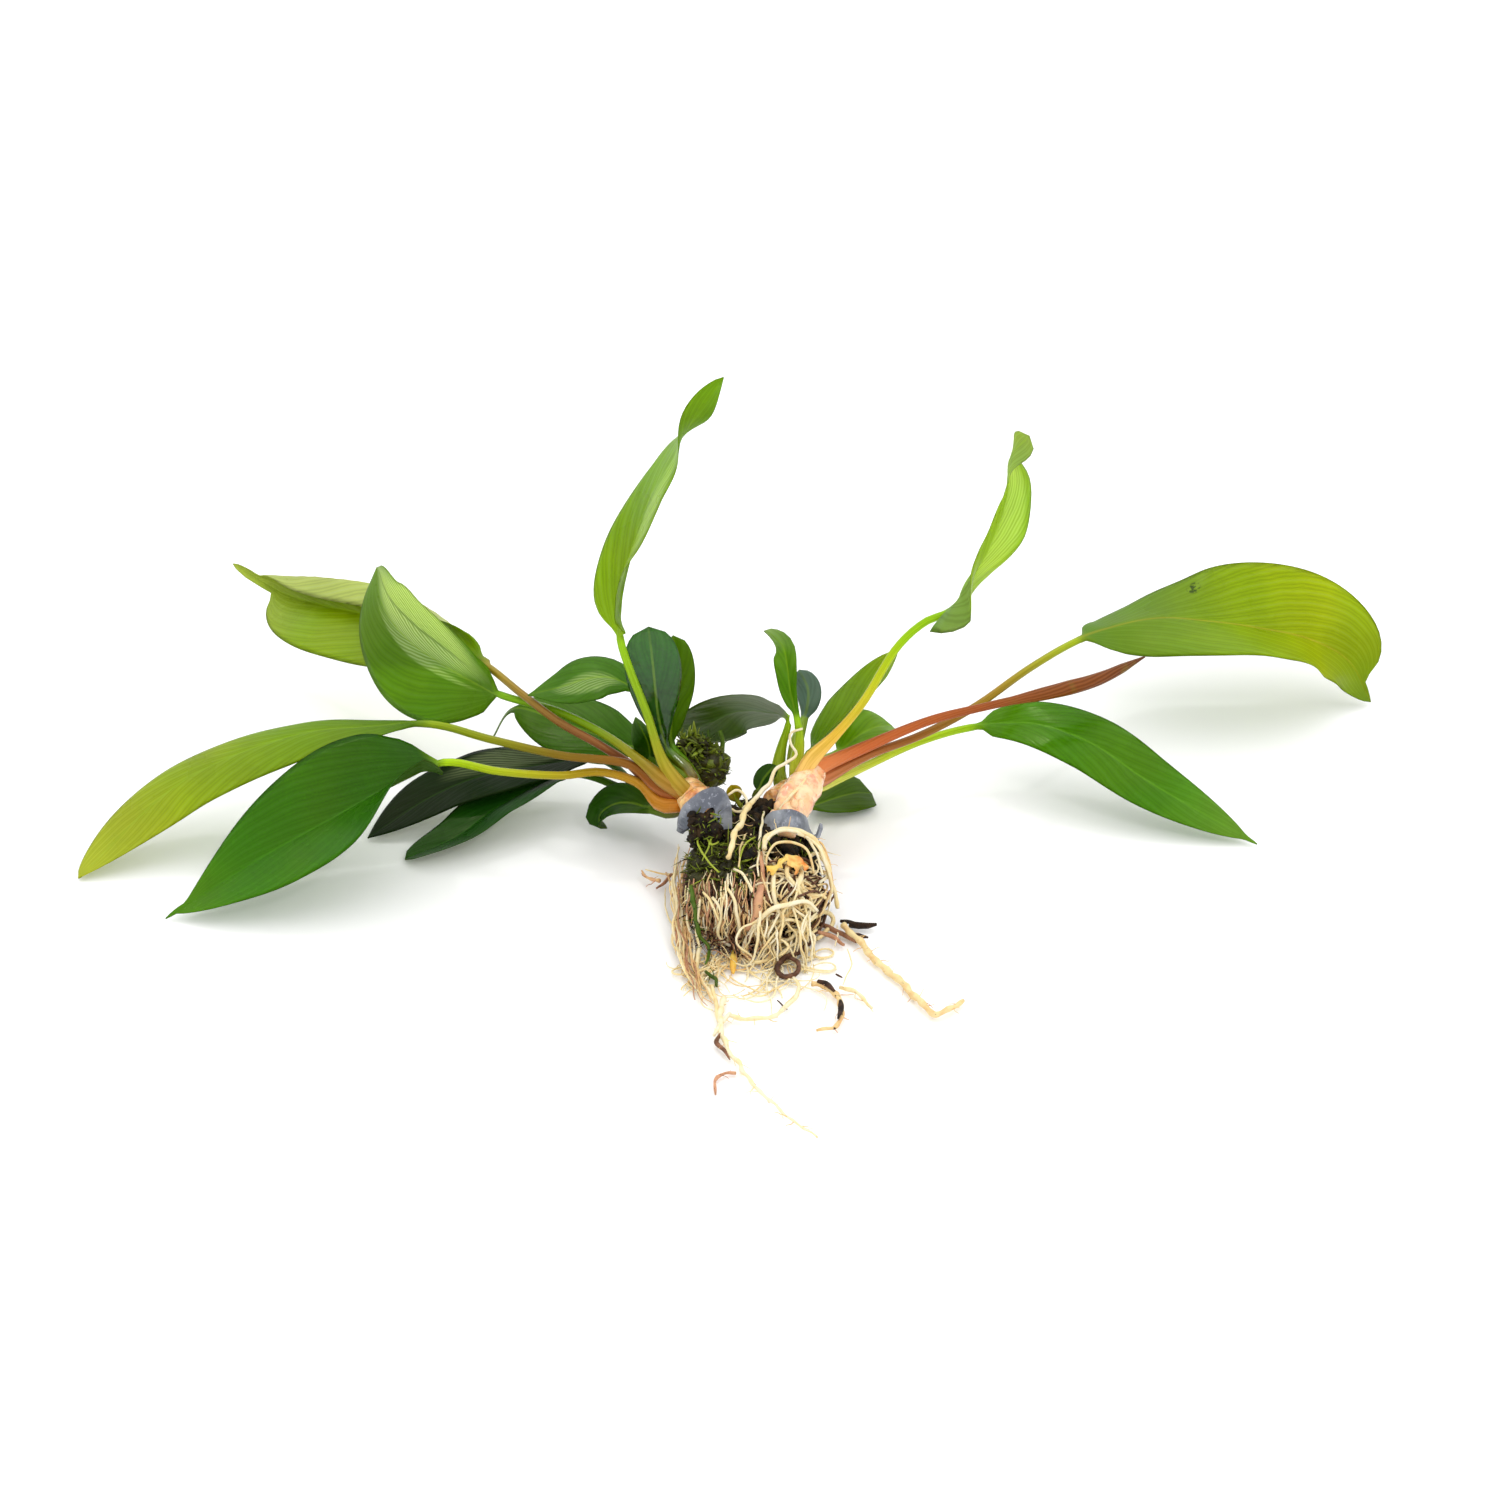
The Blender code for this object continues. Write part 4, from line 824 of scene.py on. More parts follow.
# ---------------------------------------------------------------- stone and what lies on it
def stone_reach(direction, grow):
    half = (STONE_HALF_X + grow, STONE_HALF_Y + grow,
            (STONE_RISE if direction[2] > 0 else STONE_DROP) + grow)
    total = sum(abs(part / size) ** STONE_SQUARENESS for part, size in zip(direction, half))
    return total ** (-1 / STONE_SQUARENESS)


def stone_point(x, degrees, grow):
    """A point off the stone in the upright plane at x, at an angle from its back over its top."""
    x = max(-STONE_HALF_X - grow + 1, min(STONE_HALF_X + grow - 1, x))
    y = math.cos(math.radians(degrees))
    z = math.sin(math.radians(degrees))
    narrow = (1 - abs(x / (STONE_HALF_X + grow)) ** STONE_SQUARENESS) ** (1 / STONE_SQUARENESS)
    reach = stone_reach((0, y, z), grow) * narrow
    return np.array((x, reach * y, max(LOWEST, STONE_MIDDLE_Z + reach * z)))


def stone_dent(direction):
    x, y, z = direction
    wave = math.sin(4 * x + 2.5 * y + 1) * math.sin(3 * z - 2 * x) + math.sin(5 * y - 3 * z + 2)
    return (wave + 2) / 4


def build_stone():
    ball = bmesh.new()
    bmesh.ops.create_icosphere(ball, subdivisions=6, radius=1)
    points = []
    for vert in ball.verts:
        direction = np.array(vert.co.normalized())
        reach = stone_reach(direction, 0) * (1 - STONE_DENT * stone_dent(direction))
        reach *= 0.985 + 0.02 * noise.fractal(vert.co * 5, 1.0, 2.1, 5)
        corner = max(0.0, direction[0] - 0.3) * max(0.0, -direction[1] - 0.1)
        point = direction * reach * (1 - 0.35 * corner)
        point[2] = max(0.0, point[2] + STONE_MIDDLE_Z)
        points.append(point)
    faces = [[vert.index for vert in face.verts] for face in ball.faces]
    ball.free()
    return mesh_object("rough_stone", points, faces)


# ---------------------------------------------------------------- materials
def colour(rgb):
    """A colour given as a picture shows it, 0 to 255, as the shaders take it."""
    return tuple((part / 255) ** 2.2 for part in rgb) + (1.0,)


class Value:
    """What a shader node gives. Arithmetic on it makes further nodes."""

    def __init__(self, tree, socket):
        self.tree = tree
        self.socket = socket

    def calc(self, operation, other=0.0):
        return node(self.tree, "ShaderNodeMath", {0: self, 1: other}, operation=operation)

    def __add__(self, other):
        return self.calc("ADD", other)

    def __sub__(self, other):
        return self.calc("SUBTRACT", other)

    def __mul__(self, other):
        return self.calc("MULTIPLY", other)

    def __truediv__(self, other):
        return self.calc("DIVIDE", other)

    def __pow__(self, other):
        return self.calc("POWER", other)

    def __abs__(self):
        return self.calc("ABSOLUTE")

    def cosine(self):
        return self.calc("COSINE")

    def spread(self, start, end):
        """The value carried evenly from 0..1 to start..end."""
        return node(self.tree, "ShaderNodeMapRange",
                    {"Value": self, "To Min": start, "To Max": end})

    def eased(self, low, high, start=0.0, end=1.0):
        """The value carried smoothly from low..high to start..end."""
        return node(self.tree, "ShaderNodeMapRange",
                    {"Value": self, "From Min": low, "From Max": high, "To Min": start,
                     "To Max": end}, interpolation_type="SMOOTHSTEP")

    def parts(self):
        """A vector's x, y and z."""
        split = node(self.tree, "ShaderNodeSeparateXYZ", {0: self}).socket.node
        return [Value(self.tree, socket) for socket in split.outputs]


def node(tree, kind, inputs, output=0, **settings):
    """A new node with these inputs and settings, as the value of one of its outputs."""
    made = tree.nodes.new(kind)
    for key, value in settings.items():
        setattr(made, key, value)
    for key, value in inputs.items():
        give(tree, made.inputs[key], value)
    return Value(tree, made.outputs[output])


def give(tree, socket, value):
    if isinstance(value, Value):
        tree.links.new(value.socket, socket)
    else:
        socket.default_value = value


def mixed(share, a, b):
    return node(share.tree, "ShaderNodeMix", {0: share, 6: a, 7: b}, 2, data_type="RGBA")


def shifted(shade, hue=0.5, saturation=1.0, value=1.0):
    return node(shade.tree, "ShaderNodeHueSaturation",
                {"Hue": hue, "Saturation": saturation, "Value": value, "Color": shade})


def ramp(value, colours):
    """The colour that the value, 0 to 1, picks on an even scale of them."""
    picked = node(value.tree, "ShaderNodeValToRGB", {0: value})
    elements = picked.socket.node.color_ramp.elements
    while len(elements) < len(colours):
        elements.new(0.5)
    while len(elements) > len(colours):
        elements.remove(elements[-1])
    for i, rgb in enumerate(colours):
        elements[i].position = i / max(1, len(colours) - 1)
        elements[i].color = colour(rgb)
    return picked


def noise_at(place, scale, detail, roughness=0.5):
    return node(place.tree, "ShaderNodeTexNoise", {"Vector": place, "Scale": scale,
                                                   "Detail": detail, "Roughness": roughness})


class Paint:
    """A material in the making, around its Principled shader."""

    def __init__(self, name):
        self.material = bpy.data.materials.new(name)
        self.material.use_nodes = True
        self.tree = self.material.node_tree
        self.shader = self.tree.nodes["Principled BSDF"]

    def place(self):
        return node(self.tree, "ShaderNodeTexCoord", {}, "Object")

    def patches(self, scale, detail=3.0, roughness=0.55):
        """Noise fixed to the object, scale in lumps per metre."""
        return noise_at(self.place(), scale, detail, roughness)

    def layer(self, name):
        """The pair of values kept at the mesh's corners under this name."""
        return node(self.tree, "ShaderNodeUVMap", {}, uv_map=name).parts()[:2]

    def set(self, base, rough, **others):
        """Sets the shader's colour, roughness and other inputs, named with _ for a space."""
        for key, value in {"Base Color": base, "Roughness": rough, **others}.items():
            give(self.tree, self.shader.inputs[key.replace("_", " ")], value)

    def bump(self, height, strength, distance):
        normal = node(self.tree, "ShaderNodeBump",
                      {"Height": height, "Strength": strength, "Distance": distance})
        give(self.tree, self.shader.inputs["Normal"], normal)

    def shine_through(self, share, shade):
        """Lets a share of the light through the piece, in this shade."""
        through = node(self.tree, "ShaderNodeBsdfTranslucent", {"Color": shade})
        blend = node(self.tree, "ShaderNodeMixShader",
                     {0: share, 1: Value(self.tree, self.shader.outputs[0]), 2: through})
        give(self.tree, self.tree.nodes["Material Output"].inputs["Surface"], blend)


def leaf_material(name, look, leaf, length):
    """Leaf skin: colours along it, midrib, side veins, rim, underside, patches of painted sheen, a
    painted shade line along a crease, spots, and a glow.
    """
    paint = Paint(name)
    across, along = paint.layer("skin")
    under, width = paint.layer("traits")
    signed = across.spread(-1.0, 1.0)
    off = abs(signed)
    width = width * WIDTH_UNIT
    from_rib = off * width
    from_rim = width - from_rib
    sweep = off ** SWEEP_POWER * (VEIN_SWEEP * float(np.max(leaf["width"])) / 2 / VEIN_SPACING)
    phase = along * (length / VEIN_SPACING) - sweep + paint.patches(60.0) * 0.6
    main_vein = (phase * FULL_TURN).cosine().eased(0.72, 1.0)
    fine_vein = (phase * (3 * FULL_TURN)).cosine()
    blade = mixed(under * 0.9, ramp(along, look["blade"]), ramp(along, look["under"]))
    mottle = paint.patches(38.0, 4.0)
    blade = shifted(blade, hue=paint.patches(22.0, 2.0).eased(0.3, 0.7, 0.48, 0.494),
                    value=mottle.eased(0.3, 0.7, 0.68, 0.8))
    light = shifted(blade, saturation=0.88, value=1.55)
    dark = shifted(blade, value=0.6)
    blade = mixed(main_vein * 0.42, blade, light)
    blade = mixed(fine_vein.eased(-1.0, 1.0, 0.0, 0.36), blade, dark)
    # Painted sheen: pale patches that paint highlights into the blade's colour, broken by the fine
    # veins.
    for sheen_across, sheen_along, wide, long, strength in look["painted_sheen"]:
        aside = (signed - sheen_across) / wide
        ahead = (along - sheen_along) / long
        pale = (aside * aside + ahead * ahead).eased(0.3, 1.1, strength, 0.0)
        pale = pale * fine_vein.eased(-1.0, 1.0, 1.0, 0.35)
        blade = mixed(pale, blade, colour(PAINTED_SHEEN_SHADE))
    # A darker line along the crease: painted shade in its groove, over the groove that the mesh has.
    if look["crease"]:
        crease_shade = abs(signed - look["crease"]).eased(0.0, 0.05, 0.6, 0.0) * along.eased(0.1, 0.4)
        blade = mixed(crease_shade, blade, dark)
    rib = from_rib.eased(0.15, 0.7, 0.34, 0.0) * along.eased(0.6, 1.0, 1.0, 0.35)
    blade = mixed(rib, blade, colour(look["rib"]))
    blade = mixed(from_rim.eased(0.0, 0.6, 0.4, 0.0), blade, dark)
    if look["spots"]:
        spot = paint.patches(130.0, 4.0, 0.7).eased(0.66, 0.74, 0.0, look["spots"] + 0.3)
        blade = mixed(spot, blade, colour(SPOT_SHADE))
    if look["mark"]:
        mark_across, mark_along = look["mark"]
        aside = (signed - (mark_across * 2 - 1)) * 24.0
        ahead = (along - mark_along) * length
        reach = (aside * aside + ahead * ahead) ** 0.5
        scar = reach.eased(2.0, 3.4, 1.0, 0.0) * paint.patches(700.0, 2.0).eased(0.46, 0.54)
        blade = mixed(scar * 0.85, blade, colour(SCAR_SHADE))
    stalk = ramp(along + 1.0, look["stalk"])
    place = node(paint.tree, "ShaderNodeCombineXYZ", {0: across * 9.0, 1: along * 3.0})
    streak = noise_at(place, 1.0, 3.0).eased(0.4, 0.65, 0.0, 0.6)
    stalk = mixed(streak, stalk, shifted(stalk, saturation=1.1, value=0.62))
    on_blade = along.eased(-STALK_SHARE, STALK_SHARE * 3)
    final = mixed(on_blade, stalk, blade)
    rough = mottle.eased(0.3, 0.7, look["rough"] - 0.05, look["rough"] + 0.08)
    height = (fine_vein * 0.15 + main_vein * -0.6) * on_blade
    if look["wet"]:
        low, high = (0.05, 0.22) if look["wet"] == 1 else (look["rough"] - 0.1, look["rough"])
        rough = paint.patches(120.0, 2.0).eased(0.4, 0.6, low, high)
    paint.set(final, rough, Specular_IOR_Level=look["shine"], Specular_Tint=(0.9, 1.0, 0.45, 1.0))
    if look["wet"] == 1:
        paint.set(final, rough, Coat_Weight=1.0, Coat_Roughness=0.04)
        height = height + paint.patches(200.0, 1.0) * 85.0
    paint.bump(height, 0.4, 0.0002)
    glow = under.spread(look["glow"], look["glow"] * 1.6)
    paint.shine_through(on_blade * glow, shifted(final, 0.472, 1.35, 1.6))
    return paint.material


def strand_material(name, shades, dirt, dirt_share, rough=0.5, glow=0.15):
    """Strands whose tint picks a shade each, with stained lengths and dark bits of dirt."""
    paint = Paint(name)
    tint = paint.layer("traits")[0]
    patch = paint.patches(260.0, 4.0, 0.6)
    base = ramp(tint + patch.eased(0.35, 0.7, -0.04, 0.1), shades)
    speck = paint.patches(420.0, 4.0, 0.7).eased(0.74 - dirt_share, 0.8 - dirt_share)
    base = mixed(speck, base, colour(dirt))
    paint.set(base, patch.eased(0.3, 0.7, rough - 0.1, rough + 0.15), Specular_IOR_Level=0.3)
    paint.bump(paint.patches(900.0, 3.0), 0.4, 0.0003)
    paint.shine_through(glow, base)
    return paint.material


def rough_material(name, dark, light, scale):
    """Stone, bark or soil: two mixed shades and a coarse grain."""
    paint = Paint(name)
    patch = paint.patches(scale, 6.0, 0.65)
    paint.set(mixed(patch.eased(0.4, 0.65), colour(dark), colour(light)),
              patch.eased(0.3, 0.7, 0.6, 0.85), Specular_IOR_Level=0.25)
    paint.bump(paint.patches(scale * 3, 5.0, 0.7), 0.8, 0.0008)
    return paint.material


def band_material():
    """Soft grey metal strip: dull blue-grey with rubbed paler patches and fine scratches."""
    paint = Paint("soft_grey_metal")
    patch = paint.patches(110.0, 5.0, 0.6)
    base = mixed(patch.eased(0.35, 0.62), colour((92, 96, 106)), colour((146, 150, 158)))
    stretched = node(paint.tree, "ShaderNodeMapping",
                     {"Vector": paint.place(), "Scale": (900, 200, 900)})
    scratch = noise_at(stretched, 1.0, 2.0).eased(0.6, 0.7, 0.0, 0.35)
    base = mixed(scratch, base, colour((190, 192, 205)))
    paint.set(base, patch.eased(0.3, 0.7, 0.34, 0.55), Metallic=0.3)
    paint.bump(patch, 0.25, 0.0006)
    return paint.material


def crown_material(name, deep, main, pale, pink, ringed):
    """Rhizome skin: mottled, ringed along its length, wet and slightly see-through."""
    paint = Paint(name)
    along = paint.layer("skin")[1]
    patch = paint.patches(170.0, 4.0, 0.6)
    base = mixed(patch.eased(0.35, 0.65), colour(main), colour(pale))
    base = mixed(paint.patches(240.0, 3.0).eased(0.5, 0.68, 0.0, 0.8), base, colour(pink))
    rings = ((along + paint.patches(150.0) * 0.25) * 50.0).cosine()
    base = mixed(rings.eased(0.6, 1.0, 0.0, ringed), base, colour(deep))
    paint.set(base, patch.eased(0.3, 0.7, 0.18, 0.4), Coat_Weight=0.6, Coat_Roughness=0.08,
              Subsurface_Weight=0.25, Subsurface_Scale=0.002)
    paint.bump(paint.patches(420.0, 3.0) - rings * ringed, 0.3, 0.0004)
    return paint.material


def floor_material():
    paint = Paint("white_table")
    base = mixed(paint.patches(30.0, 2.0), (0.96, 0.96, 0.96, 1), (0.97, 0.97, 0.97, 1))
    paint.set(base, 0.9, Specular_IOR_Level=0.1)
    return paint.material


def rolled_leaf_material():
    """The furled leaf: rust brown, with the seam of its roll and fine lines around it."""
    paint = Paint("rolled_leaf")
    around, along = paint.layer("skin")
    base = ramp(along, FURLED_SHADES)
    turns = around + paint.patches(50.0) * 0.15 + along * 0.7
    seam = (turns * FULL_TURN).cosine().eased(0.9, 1.0) * along.eased(0.2, 0.5)
    base = mixed(seam * 0.7, base, colour((80, 45, 20)))
    greenish = paint.patches(70.0, 3.0).eased(0.5, 0.65) * along.eased(0.45, 0.7, 0.0, 0.5)
    base = mixed(greenish, base, colour((110, 105, 35)))
    lines = (turns * 75.0).cosine()
    base = mixed(lines.eased(-1.0, 1.0, 0.0, 0.15), base, colour((205, 125, 75)))
    paint.set(base, 0.4, Specular_IOR_Level=0.15)
    paint.bump(lines - seam * 6.0, 0.4, 0.0002)
    return paint.material


def sheath_material():
    """Torn root skin: orange, yellower at its left end."""
    paint = Paint("orange_skin")
    base = mixed(paint.patches(130.0, 4.0).eased(0.4, 0.6), colour((252, 222, 130)),
                 colour((240, 150, 66)))
    left_end = paint.place().parts()[0].eased(0.004, 0.013, 0.6, 0.0)
    base = mixed(left_end, base, colour((248, 214, 84)))
    paint.set(base, 0.4)
    paint.bump(paint.patches(500.0, 3.0), 0.4, 0.0003)
    paint.shine_through(0.25, base)
    return paint.material


# ---------------------------------------------------------------- the plant
def build_leaves():
    for index, (name, leaf) in enumerate(LEAVES.items()):
        leaf = {**LEAF_DEFAULTS, **leaf}
        look = {**LOOK_DEFAULTS, **LOOKS[name], "seed": index * 1.7}
        item = leaf_object(name, leaf, look)
        length = lengths_along(smooth_curve(leaf["rib"]))[-1]
        dress(item, leaf_material(name + "_skin", look, leaf, length), look["slot"], name)
    strands_piece("fine_leaf_furled", [(along_curve(FURLED, 1.6), FURLED_RADII, 0.0)], 24,
                  rolled_leaf_material(), "leaf_rust", "leaf_furled")


def build_crowns():
    skins = {
        "crown_brown": crown_material("crown_skin_brown", (140, 75, 35), (228, 156, 84),
                                      (246, 202, 136), (205, 118, 62), 0.5),
        "crown_peach": crown_material("crown_skin_peach", (196, 110, 72), (240, 186, 134),
                                      (248, 212, 168), (220, 134, 100), 0.1)}
    for name, (points, radii, slot) in CROWNS.items():
        item = strands_object("fine_" + name, [(along_curve(points, 0.7), radii, 0.0)], 32)
        for vert in item.data.vertices:
            vert.co += vert.normal * (0.001 * noise.fractal(vert.co * 110, 1.0, 2.0, 3))
        dress(item, skins[slot], slot, name)
    nodules = [(along_curve(points, 0.5), radii, 0.0) for points, radii in CROWN_NODULES]
    strands_piece("crown_nodules", nodules, 16, skins["crown_peach"], "crown_peach")


def frame_slot(node_name):
    """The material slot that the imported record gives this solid."""
    for part in frame["record"]["subparts"]:
        if part["node"] == node_name:
            return part["material_slot"]
    raise KeyError(node_name)


def by_hand(rows, seed, wander=0.5):
    """Strands from rows of points, radii and tint, with a slight wander."""
    return [(wiggled(along_curve(points, 1.0), wander, 5.0, seed + index), radii, tint)
            for index, (points, radii, tint) in enumerate(rows)]


def side_rootlets(rng, path, tint):
    """Hair-thin rootlets that leave a root every few mm and lie over what is beside it."""
    strands = []
    for i in range(2, len(path) - 2, 3):
        away = unit(rng.normal(0, 1, 3) * (1, 1, 0.3))
        reach = rng.uniform(1.5, 5.5)
        hair = path[i] + np.linspace(0, 1, 7)[:, None] * reach * away
        thick = rng.uniform(0.1, 0.2)
        strands.append((wiggled(hair, 0.9, 2.5, rng.uniform(0, 99)), (thick, thick * 0.5),
                        min(1.0, tint + rng.uniform(0.0, 0.25))))
    return strands


def build_roots(cream, soiled):
    for index, (name, (points, radii, tint)) in enumerate(ROOTS.items()):
        path = wiggled(along_curve(points, 1.0), 0.9, 6.0, index)
        beads = 0.82 + 0.14 * np.sin(np.arange(len(path)) * 1.1 + index)
        rootlets = side_rootlets(np.random.default_rng(index), path, tint)
        strands_piece("fine_" + name,
                      [(path, spread_evenly(radii, len(path)) * beads, tint)] + rootlets, 10,
                      soiled if name in SOILED_ROOTS else cream, frame_slot(name), name)
    rng = np.random.default_rng(11)
    strands = []
    for i in range(34):
        shift = rng.normal(0, 1.0, 3) * (1.5, 0.7, 0.9) + (1.4, 0, 0)
        path = wiggled(along_curve(np.array(BUNDLE) + shift, 1.6), 2.6, 11.0, i)
        first = rng.integers(0, len(path) // 3)
        last = rng.integers(len(path) // 2, len(path) + 1)
        thick = rng.uniform(0.16, 0.5)
        tint = rng.choice([0.03, 0.1, 0.2, 0.3, 0.55])
        strands.append((path[first:last], (thick * 0.6, thick, thick, thick * 0.4), tint))
    strands_piece("fine_root_bundle_left", strands + by_hand(WHISKERS, 50), 8, cream,
                  "root_cream", "root_bundle_left")


def comb_strands(rng):
    """Fine roots combed down the left half of the stone's front: near-black ones under pale ones,
    darker roots that also paint the shade among them.
    """
    strands = []
    for i in range(300):
        # The first 130 strands lie low and are near black: darker roots that also paint the shade
        # deep among the pale ones.
        inner = i < 130
        rise = rng.uniform(0.2, 2.4) if inner else rng.uniform(1.8, 4.8)
        start = rng.uniform(132, 160) if inner else rng.uniform(140, 186)
        end = rng.uniform(192, 208)
        x = rng.uniform(-23, 3)
        lean = rng.uniform(-0.09, 0.09)
        path = [stone_point(x + lean * (angle - start), angle, rise)
                for angle in np.linspace(start, end, 8)]
        if rng.random() < 0.4:
            foot = path[-1]
            ahead = rng.uniform(2, 14)
            path.append(foot + (rng.normal(0, 1.5), -1 - ahead * 0.4, rng.uniform(0, 1)))
            path.append(foot + (rng.normal(0.5, 3), -1 - ahead, rng.uniform(-0.5, 1)))
        thick = rng.uniform(0.25, 0.5) if inner else rng.uniform(0.12, 0.34)
        tint = rng.uniform(0.72, 1.0) if inner else rng.choice([0.02, 0.08, 0.2, 0.35, 0.5, 0.75])
        path = wiggled(along_curve(path, 1.8), 2.4, 7.0, i)
        strands.append((path, (thick, thick, thick * 0.5), tint + rng.uniform(-0.05, 0.05)))
    return strands


def wandering(rng, start, heading, length, step, wander, region):
    """A path that curls over the flat, kept near the region's middle: rows of (a, b)."""
    (a0, a1), (b0, b1) = region
    place = np.array(start, float)
    bend = rng.normal(0, wander)
    path = [place.copy()]
    for _ in range(int(length / step)):
        bend = 0.86 * bend + rng.normal(0, wander * 0.5)
        heading += bend * step
        inward = np.array(((a0 + a1) / 2, (b0 + b1) / 2)) - place
        outside = not (a0 < place[0] < a1 and b0 < place[1] < b1)
        if outside:
            wanted = math.atan2(inward[1], inward[0])
            heading += 0.35 * math.sin(wanted - heading)
        place = place + step * np.array((math.cos(heading), math.sin(heading)))
        path.append(place.copy())
    return np.array(path)


def tangle_strands(rng):
    """Curled roots over the right half of the stone: near-black ones deep down, darker roots that
    also paint the shade in the tangle's holes, pale ones over them, and some that reach over to the
    table."""
    strands = []
    for i in range(128):
        # The first strands lie deep and are near black: darker roots that also paint the shade in
        # the holes of the tangle.
        inner = i < 62
        thick = rng.uniform(0.35, 0.6) if inner else rng.uniform(0.22, 0.42)
        level = rng.uniform(0.4, 2.2) if inner else rng.uniform(2.2, 4.6)
        tint = rng.uniform(0.8, 1.0) if inner else rng.choice([0.03, 0.08, 0.14, 0.22, 0.8])
        if i % 9 == 0:
            thick = rng.uniform(0.6, 0.85)
            tint = rng.uniform(0.1, 0.3)
        flat = wandering(rng, (rng.uniform(3, 19), rng.uniform(-12, 24)), rng.uniform(0, 6.28),
                         rng.uniform(16, 50), 1.0, 0.16, ((3, 19), (-16 if inner else -6, 24)))
        path = []
        for x, drop in flat:
            lift = level + 1.2 * math.sin(drop * 0.5 + i)
            path.append(stone_point(x, 160 + drop * 2.2, max(0.4, lift)))
        strands.append((smoothed(np.array(path)), (thick, thick, thick * 0.7), tint))
    for i in range(34):
        x = rng.uniform(1, 19)
        top = stone_point(x, rng.uniform(160, 192), rng.uniform(2, 5))
        foot = np.array((x + rng.normal(0, 4), -30 - rng.uniform(0, 11), rng.uniform(0.7, 2)))
        over = (top + foot) / 2 + (rng.normal(0, 2.5), -rng.uniform(0, 4), rng.uniform(0, 5))
        onward = foot + (rng.normal(0, 4), -rng.uniform(1, 5), 0)
        thick = rng.uniform(0.25, 0.5)
        path = wiggled(along_curve([top, over, foot, onward], 1.2), 1.5, 6.0, i + 200)
        strands.append((path, (thick, thick, thick * 0.6), rng.choice([0.03, 0.08, 0.16])))
    return strands


def floor_strands(rng):
    """Thin pale roots that run out over the table, thickest before the two clusters."""
    strands = []
    for i in range(62):
        cluster = i % 4
        if cluster < 2:
            start = (rng.uniform(-20, -9), rng.uniform(-40, -28))
        elif cluster == 2:
            start = (rng.uniform(4, 20), rng.uniform(-42, -30))
        else:
            start = (rng.uniform(-9, 14), rng.uniform(-44, -30))
        flat = wandering(rng, start, rng.uniform(-2.4, -0.8), rng.uniform(10, 32), 1.3, 0.1,
                         ((-20, 21), (-54, -28)))
        thick = rng.uniform(0.18, 0.38)
        level = rng.uniform(0.6, 2.2)
        path = [(x, y, max(LOWEST, level * (0.7 + 0.3 * math.sin(j * 0.3 + i))))
                for j, (x, y) in enumerate(flat)]
        strands.append((smoothed(np.array(path)), (thick, thick, thick * 0.6),
                        rng.choice([0.02, 0.08, 0.15, 0.25])))
    return strands


def lumps_over(rng, count, place_of, size, tints):
    """Short thick strands: the dark lumps under moss."""
    strands = []
    for _ in range(count):
        foot, outward = place_of(rng)
        side = unit(np.cross(outward, rng.normal(0, 1, 3)))
        reach = rng.uniform(0.8, 1.4) * size
        path = [foot + side * reach * step - outward * size * 0.3 * step ** 2
                for step in np.linspace(-1, 1, 6)]
        thick = size * rng.uniform(0.5, 0.9)
        strands.append((np.array(path), (thick * 0.3, thick, thick * 1.1, thick * 0.3),
                        rng.uniform(*tints)))
    return strands


def moss_strands(rng, count, place_of, lengths, thickness, tints, drape):
    """Blades of moss: they grow off their bed, lean with drape and curl."""
    strands = []
    for _ in range(count):
        foot, outward = place_of(rng)
        lean = unit(outward * 0.6 + np.array(drape) + rng.normal(0, 0.55, 3))
        length = rng.uniform(*lengths)
        side = rng.normal(0, 0.3, 3)
        steps = np.linspace(0, 1, 6)[:, None]
        path = foot + lean * length * steps + side * length * steps ** 2
        path[:, 2] = np.maximum(path[:, 2], LOWEST)
        thick = rng.uniform(*thickness)
        strands.append((path, (thick * 0.5, thick, thick * 1.1, thick * 0.2),
                        rng.uniform(*tints)))
    return strands


def over_stone(rng):
    """A place in the moss bed on the stone's left half, and which way is out of it."""
    x = rng.uniform(-21, 1)
    angle = rng.uniform(80, 158)
    foot = stone_point(x, angle, rng.uniform(0, 2.6))
    turn = math.radians(angle)
    return foot, np.array((x * 0.02, math.cos(turn), math.sin(turn)))


def over_ball(middle, size):
    """Gives places over an egg-shaped ball of moss."""
    def place_of(rng):
        away = unit(rng.normal(0, 1, 3))
        return np.array(middle) + away * size, away
    return place_of


def under_bands(rng):
    x = rng.uniform(-19, 20)
    y = rng.uniform(-9, 12)
    height = 26.5 - 0.02 * x * x - 0.02 * (y - 3) ** 2
    return np.array((x, y, rng.uniform(height - 7, height))), np.array((0.0, -0.5, 0.85))


def before_left_crown(rng):
    y = rng.uniform(0, 5)
    place = (rng.uniform(-21, -12), y, rng.uniform(22, 28.5 + y))
    return np.array(place), np.array((0.0, -0.7, 0.7))


def beside_crowns(rng):
    place = np.array((rng.uniform(-9, 8), rng.uniform(6, 24), rng.uniform(20, 27)))
    return place, np.array((0.0, -0.5, 0.85))


